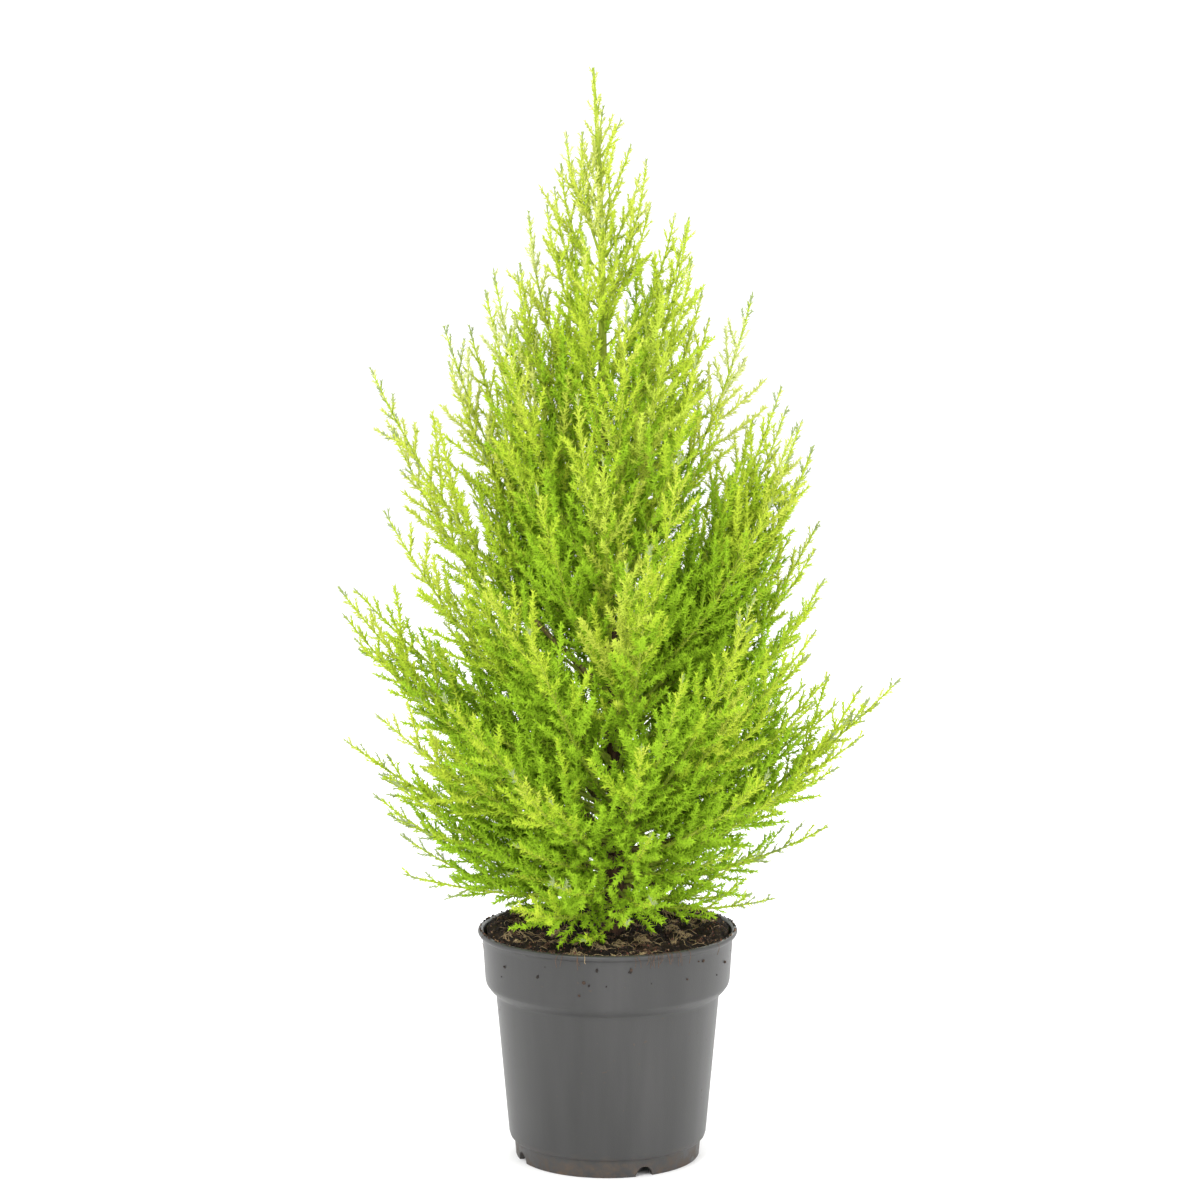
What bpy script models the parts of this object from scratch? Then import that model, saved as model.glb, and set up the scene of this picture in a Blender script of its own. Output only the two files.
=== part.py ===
"""Potted lemon cypress: a young conifer with a cone of feathery shoots, in a round grey nursery pot.

Metres, +Z up. The origin is the middle of the pot's underside, and -Y is the plant's front.
"""

import math
import random

import bmesh
import bpy
from mathutils import Matrix, Vector, noise
from mathutils.bvhtree import BVHTree

# Driving dimensions
POT_HEIGHT = 0.1155
RIM_RADIUS = 0.065
BAND_RADIUS = 0.0612  # foot of the wide band below the rim
BAND_BOTTOM = 0.0900
BODY_RADIUS = 0.0558  # body just under the band
BODY_TOP = 0.0815
HEEL_RADIUS = 0.0495  # body just above the foot
HEEL_HEIGHT = 0.0125
FOOT_RADIUS = 0.0468
FOOT_HEIGHT = 0.0085
POT_WALL = 0.0012
PAD_RADIUS = 0.0215  # flat middle of the underside
CHANNEL_DEPTH = 0.0062  # drain channel between the pad and the foot ring
DRAIN_COUNT = 4
DRAIN_ANGLE = 23.0  # degrees from the first drain arch to the front
DRAIN_WIDTH = 0.009
DRAIN_HEIGHT = 0.005
POT_STEPS = 26
SOIL_LEVEL = 0.1100
SOIL_RELIEF = 0.0016
CLEAR = 0.0003  # between pieces that touch on the real plant

TREE_TOP = 0.5400
TRUNK_RADIUS = 0.0048
TRUNK_TIP_RADIUS = 0.0006
TRUNK_STEPS = 9
TRUNK_FOOT_X = 0.0030
TRUNK_LEAN = 0.0107  # how far the top leans to -X
TRUNK_SWAY = 0.0014
FLARE = 0.0034  # what the root flare adds at the soil
FLARE_HEIGHT = 0.010

CROWN_FOOT = 0.130
CROWN_FOOT_RADIUS = 0.080
CROWN_RADIUS = 0.138
CROWN_TOP_RADIUS = 0.004
WIDEST = 0.30  # where the crown is widest, as a share of its height
LOWEST_ROOT = 0.012  # from the soil to the lowest limb
ROOT_STEP = 0.0030  # how far a shoot's root moves on the trunk to keep clear of another
ROOT_STEPS = 5  # up and down
LIMB_ROOM = 0.0022  # between the surfaces of two limbs
STEM_TIP_RADIUS = 0.00045
TWIG_FLAT = 0.55  # from the middle of a three-sided twig to its flat upper side, as a share
BOUGH_SHARE = 0.24  # of a main shoot's length
MAIN_REACH = 0.1085  # a shoot that reaches further has a bough
SWEEP = math.radians(11.0)  # how much flatter a shoot leaves the trunk than its mean slope

BLADE_THICKNESS = 0.0007
BLADE_ROOT_WIDTH = 0.0008
TIP_BLADE = 0.0155
TIP_BLADE_WIDTH = 0.0030
FIRST_BLADE = 0.013  # from the shoot's tip to its first side blade
LAST_BLADE = 0.006  # from the end of the leafy part to its last side blade
BLADE_SPACING = 0.0195
BARE_TWIG = 0.08  # the leafless share of a shoot that has no bough
LEAST_LEAN = 34.0  # degrees between a side blade and its shoot
MOST_LEAN = 42.0
BLADE_SIZES = (1.3, 1.0, 0.75)  # of its planned length, tried in turn
HULL_ROOT = 0.005  # nearer to the stem than this a blade may meet other limbs' space
OWN_ROOT = 0.012  # nearer to the stem than this it may meet a blade of its own mass
SOIL_ROOM = 0.004  # between the lowest leaves and the soil
FEWEST_BLADES = 3
MOST_BLADES = 6
SHORTEST_BLADE = 0.009
LONGEST_BLADE = 0.060
LONG_BLADE = 0.038  # a blade over this has a third pair of teeth
ROLLS = 8  # ways round the shoot that are tried for a blade
SEED = 41
GOLDEN_ANGLE = math.radians(137.5)
SHARP_ANGLE = math.radians(35.0)
PARTS = "lemon_cypress"

# The long shoots that stand out of the crown: bearing in degrees (0 is +X, 270 the front), reach
# from the trunk and height of the tip.
LONG_SHOOTS = (
    (350, 0.040, 0.468),
    (8, 0.072, 0.431),
    (346, 0.097, 0.371),
    (12, 0.108, 0.317),
    (333, 0.112, 0.272),
    (3, 0.146, 0.240),
    (342, 0.118, 0.203),
    (14, 0.115, 0.161),
    (331, 0.093, 0.140),
    (172, 0.039, 0.471),
    (187, 0.056, 0.443),
    (174, 0.081, 0.415),
    (191, 0.117, 0.396),
    (169, 0.109, 0.362),
    (199, 0.114, 0.328),
    (181, 0.133, 0.287),
    (206, 0.124, 0.232),
    (176, 0.132, 0.209),
    (195, 0.104, 0.148),
    (268, 0.072, 0.357),
    (275, 0.098, 0.309),
    (241, 0.097, 0.145),
    (258, 0.060, 0.122),
    (309, 0.108, 0.247),
    (301, 0.054, 0.410),
    (236, 0.106, 0.303),
    (248, 0.122, 0.214),
)
BACK_SHOOTS = 9
BACK_FROM = 34.0  # degrees: the back shoots stand between this bearing and its mirror image
BACK_LOWEST = 0.150
BACK_HIGHEST = 0.440
LEADER_SHOOTS = 3
LEADER_SLOPE = math.radians(74.0)
LEADER_FROM = 100.0  # bearing of the first, in degrees
LEADER_REACH = 0.012
LEADER_SPREAD = 0.004  # how much further each next one reaches
LEADER_DROP = 0.018  # from the tree's top to the first leader spray's tip
LEADER_SPACING = 0.013


def clear_scene():
    for item in list(bpy.data.objects):
        bpy.data.objects.remove(item)
    for group in list(bpy.data.collections):
        bpy.data.collections.remove(group)


def new_collection(name):
    group = bpy.data.collections.new(name)
    bpy.context.scene.collection.children.link(group)
    return group


def material(name, colour, roughness):
    made = bpy.data.materials.new(name)
    made.use_nodes = True
    shader = made.node_tree.nodes["Principled BSDF"]
    shader.inputs["Base Color"].default_value = (*colour, 1.0)
    shader.inputs["Roughness"].default_value = roughness
    shader.inputs["Metallic"].default_value = 0.0
    return made


def add_object(name, data, group):
    made = bpy.data.objects.new(name, data)
    group.objects.link(made)
    return made


def as_mesh(source, name, group):
    """The object as it is evaluated, made a welded mesh object of its own; the source goes."""
    bpy.context.view_layer.update()
    graph = bpy.context.evaluated_depsgraph_get()
    mesh = bpy.data.meshes.new_from_object(source.evaluated_get(graph))
    model = bmesh.new()
    model.from_mesh(mesh)
    bmesh.ops.remove_doubles(model, verts=model.verts, dist=1e-6)
    model.to_mesh(mesh)
    model.free()
    made = bpy.data.objects.new(name, mesh)
    made.matrix_world = source.matrix_world
    group.objects.link(made)
    bpy.data.objects.remove(source)
    return made


def lathe(name, profile, steps, group):
    """A turned surface from (radius, height) points listed down the outer side."""
    mesh = bpy.data.meshes.new(name)
    points = [(radius, 0.0, height) for radius, height in profile]
    mesh.from_pydata(points, [(i, i + 1) for i in range(len(points) - 1)], [])
    made = add_object(name, mesh, group)
    screw = made.modifiers.new("turn", "SCREW")
    screw.steps = steps
    screw.render_steps = steps
    screw.use_merge_vertices = True
    screw.merge_threshold = 0.0001
    return made


def pot_inside():
    """The inner side of the pot, from the middle of the floor out and up to the rim."""
    floor = CHANNEL_DEPTH + POT_WALL
    return [
        (0.0, POT_WALL),
        (PAD_RADIUS, POT_WALL),
        (PAD_RADIUS + 0.0024, floor),
        (FOOT_RADIUS - 0.0030, floor),
        (HEEL_RADIUS - POT_WALL, HEEL_HEIGHT),
        (BODY_RADIUS - POT_WALL, BODY_TOP + 0.0008),
        (BODY_RADIUS - POT_WALL + 0.0008, BODY_TOP + 0.0028),
        (BAND_RADIUS - POT_WALL - 0.0014, BAND_BOTTOM - 0.0022),
        (BAND_RADIUS - POT_WALL, BAND_BOTTOM),
        (RIM_RADIUS - 0.0025 - POT_WALL, POT_HEIGHT - 0.0060),
    ]


def pot_profile():
    """The pot's cross-section: up the inside, over the lip, down the outside to the underside."""
    outside = [
        (RIM_RADIUS - 0.0032, POT_HEIGHT - 0.0010),
        (RIM_RADIUS - 0.0020, POT_HEIGHT),
        (RIM_RADIUS - 0.0006, POT_HEIGHT - 0.0002),
        (RIM_RADIUS, POT_HEIGHT - 0.0012),
        (RIM_RADIUS - 0.0004, POT_HEIGHT - 0.0024),
        (RIM_RADIUS - 0.0020, POT_HEIGHT - 0.0034),
        (RIM_RADIUS - 0.0025, POT_HEIGHT - 0.0060),
        (BAND_RADIUS, BAND_BOTTOM),
        (BAND_RADIUS - 0.0005, BAND_BOTTOM - 0.0020),
        (BAND_RADIUS - 0.0024, BAND_BOTTOM - 0.0046),
        (BODY_RADIUS + 0.0006, BODY_TOP + 0.0018),
        (BODY_RADIUS, BODY_TOP),
        (HEEL_RADIUS, HEEL_HEIGHT),
        (HEEL_RADIUS - 0.0007, HEEL_HEIGHT - 0.0024),
        (FOOT_RADIUS, FOOT_HEIGHT),
        (FOOT_RADIUS - 0.0008, 0.0),
        (FOOT_RADIUS - 0.0034, 0.0),
        (FOOT_RADIUS - 0.0050, CHANNEL_DEPTH),
        (PAD_RADIUS + 0.0030, CHANNEL_DEPTH),
        (PAD_RADIUS + 0.0010, 0.0),
        (0.0, 0.0),
    ]
    return pot_inside() + outside


def build_pot(group, cutters):
    pot = lathe("pot", pot_profile(), POT_STEPS, group)
    for index in range(DRAIN_COUNT):
        bearing = math.radians(-90.0 + DRAIN_ANGLE) + index * math.tau / DRAIN_COUNT
        mesh = bpy.data.meshes.new(f"drain_cutter_{index + 1}")
        model = bmesh.new()
        along = Matrix.Rotation(math.pi / 2, 4, "Y")
        bmesh.ops.create_cone(
            model, cap_ends=True, segments=12, depth=0.012, matrix=along,
            radius1=DRAIN_WIDTH / 2, radius2=DRAIN_WIDTH / 2,
        )
        bmesh.ops.scale(model, vec=(1.0, 1.0, 2.0 * DRAIN_HEIGHT / DRAIN_WIDTH), verts=model.verts)
        model.to_mesh(mesh)
        model.free()
        cutter = add_object(mesh.name, mesh, cutters)
        reach = FOOT_RADIUS - 0.002
        cutter.location = (reach * math.cos(bearing), reach * math.sin(bearing), 0.0)
        cutter.rotation_euler = (0.0, 0.0, bearing)
        cutter.hide_render = True
        cutter.display_type = "WIRE"
        cut = pot.modifiers.new(f"drain_{index + 1}", "BOOLEAN")
        cut.operation = "DIFFERENCE"
        cut.object = cutter
        cut.solver = "EXACT"
    pot.data.materials.append(material("pot_plastic", (0.115, 0.113, 0.115), 0.42))
    return pot


def soil_height(x, y):
    """The uneven top of the soil, level round the trunk's foot."""
    away = math.hypot(x, y)
    lumps = noise.noise(Vector((x, y, 0.0)) * 70.0) + 0.6 * noise.noise(Vector((x, y, 5.0)) * 170.0)
    fade = min(1.0, max(0.0, (away - 0.014) / 0.010))
    return SOIL_LEVEL + fade * SOIL_RELIEF * lumps


def build_soil(group):
    rings = [0.0, 0.012, 0.026, 0.042]
    profile = [(ring, SOIL_LEVEL) for ring in rings]
    walls = [(radius - CLEAR, height) for radius, height in pot_inside()[4:]]
    profile.append((walls[-1][0], SOIL_LEVEL - 0.0008))
    profile += reversed(walls[1:-1])
    profile.append((walls[0][0], HEEL_HEIGHT + 0.0010))
    profile.append((0.0, HEEL_HEIGHT + 0.0010))
    soil = as_mesh(lathe("soil_turned", profile, POT_STEPS, group), "soil", group)
    for vertex in soil.data.vertices:
        x, y, z = vertex.co
        if z > SOIL_LEVEL - 0.0002:
            vertex.co.z = soil_height(x, y)
    soil.data.materials.append(material("peat", (0.045, 0.028, 0.018), 0.95))
    return soil


def trunk_point(height):
    """The middle of the trunk: upright at the foot, then leaning a little to -X at the top."""
    share = (height - SOIL_LEVEL) / (TREE_TOP - SOIL_LEVEL)
    sway = TRUNK_SWAY * math.sin(share * 9.0) * min(1.0, share / 0.05)
    return Vector((TRUNK_FOOT_X - TRUNK_LEAN * share**1.8 + sway, 0.8 * sway, height))


def trunk_radius(height):
    share = (height - SOIL_LEVEL) / (TREE_TOP - SOIL_LEVEL)
    taper = TRUNK_TIP_RADIUS + (TRUNK_RADIUS - TRUNK_TIP_RADIUS) * (1.0 - share) ** 0.9
    return taper + FLARE * math.exp(-(height - SOIL_LEVEL) / FLARE_HEIGHT)


def tube(name, points, radii, group, resolution=1, outline=None):
    """A tapering tube along the points, as a mesh: round, or three-sided where an outline is given."""
    curve = bpy.data.curves.new(name, "CURVE")
    curve.dimensions = "3D"
    curve.use_fill_caps = True
    if outline:
        curve.bevel_mode = "OBJECT"
        curve.bevel_object = outline
    else:
        curve.bevel_depth = 1.0
        curve.bevel_resolution = resolution
    spline = curve.splines.new("POLY")
    spline.points.add(len(points) - 1)
    for knot, point, radius in zip(spline.points, points, radii):
        knot.co = (*point, 1.0)
        knot.radius = radius
    return as_mesh(add_object(name + "_curve", curve, group), name, group)


def triangle_outline(group):
    """The three-sided cross-section of a twig, of radius 1."""
    curve = bpy.data.curves.new("twig_section", "CURVE")
    curve.dimensions = "2D"
    spline = curve.splines.new("POLY")
    spline.points.add(2)
    for index, knot in enumerate(spline.points):
        turn = -index * math.tau / 3
        knot.co = (math.cos(turn), math.sin(turn), 0.0, 1.0)
    spline.use_cyclic_u = True
    made = add_object("twig_section", curve, group)
    made.hide_render = True
    made.display_type = "WIRE"
    return made


def build_trunk(group):
    first = SOIL_LEVEL + CLEAR
    heights = [first, first + 0.003, first + 0.008, first + 0.016, first + 0.030]
    rest = TREE_TOP - heights[-1]
    heights += [heights[-1] + rest * (i + 1) / TRUNK_STEPS for i in range(TRUNK_STEPS)]
    points = [trunk_point(height) for height in heights]
    points[0].xy = points[1].xy
    trunk = tube("trunk", points, [trunk_radius(h) for h in heights], group, resolution=2)
    trunk.data.materials.append(material("trunk_bark", (0.085, 0.048, 0.030), 0.85))
    return trunk


def rise_angle(tip_height):
    """The mean slope of a shoot: nearly level at the foot of the crown, steep at its top."""
    share = max(0.0, (tip_height - CROWN_FOOT) / (TREE_TOP - CROWN_FOOT))
    return math.radians(-4.0 + 84.0 * share**0.62)


def shoot_slope(reach, tip_height):
    """A shoot that reaches out of the crown slopes less than its neighbours."""
    return rise_angle(tip_height) * min(1.0, crown_radius(tip_height) / reach) ** 0.35


class Shoot:
    """One limb from the trunk to its tip: a Bezier that sweeps up a little on its way out."""

    def __init__(self, name, bearing, reach, tip_height, slope, shift):
        self.name = name
        self.reach = reach
        root_height = tip_height - reach * math.tan(slope) + shift
        root_height = max(SOIL_LEVEL + LOWEST_ROOT, root_height)
        away = Vector((math.cos(bearing), math.sin(bearing), 0.0))
        start_slope = slope - SWEEP
        flat = 1.0 if is_main(self) else TWIG_FLAT
        gap = trunk_radius(root_height) + CLEAR
        gap += flat * self.root_radius() * abs(math.sin(start_slope))
        self.start = trunk_point(root_height) + away * gap
        self.end = Vector((away.x * reach, away.y * reach, tip_height))
        leave = away * math.cos(start_slope) + Vector((0.0, 0.0, math.sin(start_slope)))
        self.middle = self.start + leave * 0.5 * (self.end - self.start).length
        self.length = sum(
            (self.point((i + 1) / 24) - self.point(i / 24)).length for i in range(24)
        )

    def root_radius(self):
        return 0.0008 + 0.0085 * self.reach

    def point(self, share):
        back = 1.0 - share
        return self.start * back**2 + self.middle * 2.0 * back * share + self.end * share**2

    def tangent(self, share):
        leave = (self.middle - self.start) * (1.0 - share)
        arrive = (self.end - self.middle) * share
        return (leave + arrive).normalized()


def side_name(bearing):
    """Which side of the plant a bearing in degrees points to."""
    return ("right", "back", "left", "front")[int(((bearing + 45.0) % 360.0) // 90.0)]


def all_shoots():
    """The long shoots, those of the back, and the short ones round the leader."""
    rows = [
        (side_name(bearing), bearing, reach, tip, shoot_slope(reach, tip))
        for bearing, reach, tip in LONG_SHOOTS
    ]
    for index in range(BACK_SHOOTS):
        tip = BACK_LOWEST + (BACK_HIGHEST - BACK_LOWEST) * index / (BACK_SHOOTS - 1)
        bearing = BACK_FROM + (180.0 - 2.0 * BACK_FROM) * ((index * 0.618 + 0.35) % 1.0)
        reach = crown_radius(tip)
        rows.append(("back", bearing, reach, tip, shoot_slope(reach, tip)))
    for index in range(LEADER_SHOOTS):
        tip = TREE_TOP - LEADER_DROP - LEADER_SPACING * index
        reach = LEADER_REACH + LEADER_SPREAD * index
        bearing = LEADER_FROM + 360.0 * index / LEADER_SHOOTS
        rows.append(("leader", bearing, reach, tip, LEADER_SLOPE))
    counts = {}
    shoots = []
    for side, bearing, reach, tip, slope in rows:
        counts[side] = counts.get(side, 0) + 1
        name = f"spray_{side}_{counts[side]:02d}"
        for step in range(2 * ROOT_STEPS + 1):
            shift = ROOT_STEP * ((step + 1) // 2) * (-1.0 if step % 2 else 1.0)
            shoot = Shoot(name, math.radians(bearing), reach, tip, slope, shift)
            if all(apart(shoot, other) for other in shoots):
                break
        shoots.append(shoot)
    return shoots


def apart(shoot, other):
    """Whether two limbs keep clear of each other all along."""
    shares = [i / 20 for i in range(21)]
    for share in shares:
        point = shoot.point(share)
        radius = limb_radius(shoot, share)
        for beside in shares:
            room = radius + limb_radius(other, beside) + LIMB_ROOM
            if (point - other.point(beside)).length < room:
                return False
    return True


def crown_radius(height):
    """How far the crown reaches at a height: a rounded foot, widest low down, then a long cone."""
    share = (height - CROWN_FOOT) / (TREE_TOP - CROWN_FOOT)
    if share < WIDEST:
        swell = math.sin(0.5 * math.pi * share / WIDEST)
        return CROWN_FOOT_RADIUS + (CROWN_RADIUS - CROWN_FOOT_RADIUS) * swell
    narrowing = ((share - WIDEST) / (1.0 - WIDEST)) ** 1.25
    return CROWN_TOP_RADIUS + CROWN_RADIUS * (1.0 - narrowing)


def blade_outline(length, half_width, teeth):
    """The toothed outline of a flat spray: slim root, forward-pointing teeth, pointed tip."""
    root = BLADE_ROOT_WIDTH / 2
    side = [(0.0, root)]
    for index in range(teeth):
        along = (index + 0.62) / (teeth + 0.40)
        spread = half_width * (1.0 - 0.5 * index / teeth)
        side.append((length * along + 0.9 * spread, spread))
        side.append((length * along + 0.55 * spread, root + 0.22 * spread))
    other_side = [(x, -y) for x, y in reversed(side)]
    return side + [(length, 0.0)] + other_side


def blade_curve(name, length, half_width, teeth):
    """A toothed blade lying along +X, filled within a flat outline."""
    curve = bpy.data.curves.new(name, "CURVE")
    curve.dimensions = "2D"
    curve.fill_mode = "BOTH"
    curve.extrude = BLADE_THICKNESS / 2
    outline = blade_outline(length, half_width, teeth)
    spline = curve.splines.new("POLY")
    spline.points.add(len(outline) - 1)
    for knot, (x, y) in zip(spline.points, outline):
        knot.co = (x, y, 0.0, 1.0)
    spline.use_cyclic_u = True
    return curve


def place(direction, face, origin):
    """A matrix that lays local X along the direction with local Z as near to face as it goes."""
    x_axis = direction.normalized()
    y_axis = face.cross(x_axis).normalized()
    z_axis = x_axis.cross(y_axis)
    turn = Matrix((x_axis, y_axis, z_axis)).transposed().to_4x4()
    return Matrix.Translation(origin) @ turn


def twig_length(from_tip):
    """How long a side twig is, from how far behind the shoot's tip it leaves."""
    return min(LONGEST_BLADE, 0.0050 + 0.70 * from_tip * (1.0 - 1.5 * from_tip))


def hull_tree(shapes):
    """One search tree over (points, faces) shapes."""
    points, faces = [], []
    for shape_points, shape_faces in shapes:
        base = len(points)
        points += shape_points
        faces += [[base + i for i in face] for face in shape_faces]
    return BVHTree.FromPolygons(points, faces)


def shape_of(item):
    world = item.matrix_world
    points = [world @ vertex.co for vertex in item.data.vertices]
    return points, [list(face.vertices) for face in item.data.polygons]


def blade_hull(length, half_width, matrix, root):
    """A plain convex prism round a blade from its root on, with some room to its neighbours."""
    edge = half_width + 0.0005
    thick = BLADE_THICKNESS / 2 + CLEAR
    side = [(root, 0.0012), (max(root, length * 0.38), edge), (length * 0.82, edge * 0.66)]
    side.append((length, 0.0008))
    outline = side + [(x, -y) for x, y in reversed(side)]
    count = len(outline)
    points = [matrix @ Vector((x, y, height)) for height in (-thick, thick) for x, y in outline]
    faces = [list(range(count)), list(range(2 * count - 1, count - 1, -1))]
    faces += [[i, (i + 1) % count, (i + 1) % count + count, i + count] for i in range(count)]
    return points, faces


def spray_plan(shoot, leafy_from, rng):
    """Where a shoot's side blades leave it: (share along it, roll, length)."""
    leafy = shoot.length * (1.0 - leafy_from) - FIRST_BLADE - LAST_BLADE
    count = max(FEWEST_BLADES, min(MOST_BLADES, round(leafy / BLADE_SPACING)))
    roll = rng.uniform(0.0, math.tau)
    plan = []
    for index in range(count):
        from_tip = FIRST_BLADE + leafy * (index / (count - 1)) ** 1.2
        plan.append((1.0 - from_tip / shoot.length, roll, twig_length(from_tip)))
        roll += GOLDEN_ANGLE
    return plan


def blade_width(length):
    return 0.0014 + 0.145 * length


def is_main(shoot):
    return shoot.reach > MAIN_REACH


def free_place(shoot, share, roll, length, rng, near, own, centres):
    """The roll round the shoot that keeps a blade clear of its neighbours and best fills the crown."""
    tangent = shoot.tangent(share)
    origin = shoot.point(share)
    side = tangent.cross(Vector((0.0, 0.0, 1.0))).normalized()
    over = side.cross(tangent).normalized()
    lean = math.radians(rng.uniform(LEAST_LEAN, MOST_LEAN))
    twist = rng.uniform(-0.5, 0.5)
    allowance = max(0.006, origin.xy.length - crown_radius(origin.z) + 0.25 * length)
    best = None
    for attempt in range(ROLLS):
        turn = roll + attempt * math.tau / ROLLS
        out = side * math.cos(turn) + over * math.sin(turn)
        direction = tangent * math.cos(lean) + out * math.sin(lean)
        for grow in BLADE_SIZES:
            size = length * grow * (0.82 + 0.36 * out.z)
            end = origin + direction * size
            if size < SHORTEST_BLADE or end.xy.length > crown_radius(end.z) + allowance:
                continue
            matrix = place(direction, tangent.cross(out) + out * twist, origin)
            hull = blade_hull(size, blade_width(size), matrix, HULL_ROOT)
            if min(point.z for point in hull[0]) < SOIL_LEVEL + SOIL_ROOM:
                continue
            if near.overlap(BVHTree.FromPolygons(*hull)):
                continue
            outer = blade_hull(size, blade_width(size), matrix, OWN_ROOT)
            if own and own.overlap(BVHTree.FromPolygons(*outer)):
                continue
            middle = origin + direction * size * 0.6
            room = min(((middle - other).length for other in centres), default=1.0) * grow
            if best is None or room > best[0]:
                best = (room, size, matrix, middle)
            break
    return best


def build_limbs(shoots, group, section):
    """The boughs, and the stem of each foliage mass from its bough's tip, or the trunk, on."""
    wood = material("bough_bark", (0.11, 0.075, 0.035), 0.8)
    boughs = []
    stems = {}
    for shoot in shoots:
        split = 0.0
        if is_main(shoot):
            knots = [BOUGH_SHARE * i / 2 for i in range(3)]
            name = shoot.name.replace("spray", "bough")
            points = [shoot.point(knot) for knot in knots]
            boughs.append(tube(name, points, [limb_radius(shoot, k) for k in knots], group))
            boughs[-1].data.materials.append(wood)
            split = BOUGH_SHARE + CLEAR / shoot.length
        last = 1.0 - 0.010 / shoot.length
        knots = [split + (last - split) * i / 5 for i in range(6)]
        points = [shoot.point(knot) for knot in knots]
        radii = [limb_radius(shoot, knot) for knot in knots]
        stems[shoot.name] = tube(shoot.name, points, radii, group, outline=section)
    return boughs, stems


def build_crown(group, helpers, others):
    """Boughs and foliage masses, each in its own space."""
    section = triangle_outline(helpers)
    shoots = all_shoots()
    boughs, stems = build_limbs(shoots, group, section)
    fixed = [shape_of(item) for item in others + boughs]
    stem_shapes = {name: shape_of(item) for name, item in stems.items()}
    placed = {}
    centres = []
    for number, shoot in enumerate(shoots):
        rng = random.Random(SEED + number)
        near = fixed + [shape for name, shape in stem_shapes.items() if name != shoot.name]
        for shapes in placed.values():
            near += shapes
        near = hull_tree(near)
        blades = new_collection(shoot.name + "_blades")
        placed[shoot.name] = []
        tangent = shoot.tangent(1.0)
        upright = tangent.cross(Vector((0.0, 0.0, 1.0))).cross(tangent)
        tip_matrix = place(tangent, upright, shoot.point(1.0 - TIP_BLADE / shoot.length))
        add_blade(shoot, blades, placed, TIP_BLADE, TIP_BLADE_WIDTH, 2, tip_matrix)
        leafy_from = BOUGH_SHARE if is_main(shoot) else BARE_TWIG
        for share, roll, length in spray_plan(shoot, leafy_from, rng):
            own = hull_tree(placed[shoot.name])
            best = free_place(shoot, share, roll, length, rng, near, own, centres)
            if best:
                _, size, matrix, middle = best
                centres.append(middle)
                teeth = 3 if size > LONG_BLADE else 2
                add_blade(shoot, blades, placed, size, blade_width(size), teeth, matrix)
        fuse(stems[shoot.name], blades)
        tint = 0.75 + 0.5 * (shoot.end.z / TREE_TOP)
        stems[shoot.name].data.materials.clear()
        stems[shoot.name].data.materials.append(
            material(shoot.name + "_needles", (0.24 * tint, 0.42 * tint, 0.02), 0.55)
        )
    bpy.data.objects.remove(section)


def add_blade(shoot, blades, placed, length, half_width, teeth, matrix):
    curve = blade_curve(f"{shoot.name}_blade", length, half_width, teeth)
    flat = add_object(curve.name, curve, blades)
    flat.matrix_world = matrix
    placed[shoot.name].append(shape_of(as_mesh(flat, curve.name, blades)))


def limb_radius(shoot, share):
    taper = shoot.root_radius() * (1.0 - share) + STEM_TIP_RADIUS * share
    return max(STEM_TIP_RADIUS, taper)


def fuse(stem, blades):
    """Joins the blades to their stem in one union, and drops any loose scrap."""
    union = stem.modifiers.new("join", "BOOLEAN")
    union.operation = "UNION"
    union.operand_type = "COLLECTION"
    union.collection = blades
    union.solver = "EXACT"
    bpy.context.view_layer.update()
    graph = bpy.context.evaluated_depsgraph_get()
    joined = bpy.data.meshes.new_from_object(stem.evaluated_get(graph))
    stem.modifiers.clear()
    stem.data = joined
    for item in list(blades.objects):
        bpy.data.objects.remove(item)
    bpy.data.collections.remove(blades)
    keep_largest(joined)


def keep_largest(mesh):
    """Leaves only the largest connected piece of the mesh."""
    model = bmesh.new()
    model.from_mesh(mesh)
    unseen = set(model.verts)
    pieces = []
    while unseen:
        front = [unseen.pop()]
        piece = set(front)
        while front:
            vertex = front.pop()
            for edge in vertex.link_edges:
                other = edge.other_vert(vertex)
                if other not in piece:
                    piece.add(other)
                    front.append(other)
        unseen -= piece
        pieces.append(piece)
    pieces.sort(key=len)
    for piece in pieces[:-1]:
        bmesh.ops.delete(model, geom=list(piece), context="VERTS")
    bmesh.ops.dissolve_limit(
        model, angle_limit=math.radians(0.5), verts=model.verts, edges=model.edges,
        use_dissolve_boundaries=False, delimit=set(),
    )
    model.to_mesh(mesh)
    model.free()


def main():
    clear_scene()
    parts = new_collection(PARTS)
    cutters = new_collection(PARTS + "_cutters")
    build_pot(parts, cutters)
    soil = build_soil(parts)
    trunk = build_trunk(parts)
    build_crown(parts, cutters, [soil, trunk])
    for item in parts.objects:
        item.data.shade_smooth()
        item.data.set_sharp_from_angle(angle=SHARP_ANGLE)


main()
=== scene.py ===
import math
import random

import bmesh
import bpy
import numpy as np
from mathutils import Matrix, Vector, noise


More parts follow.
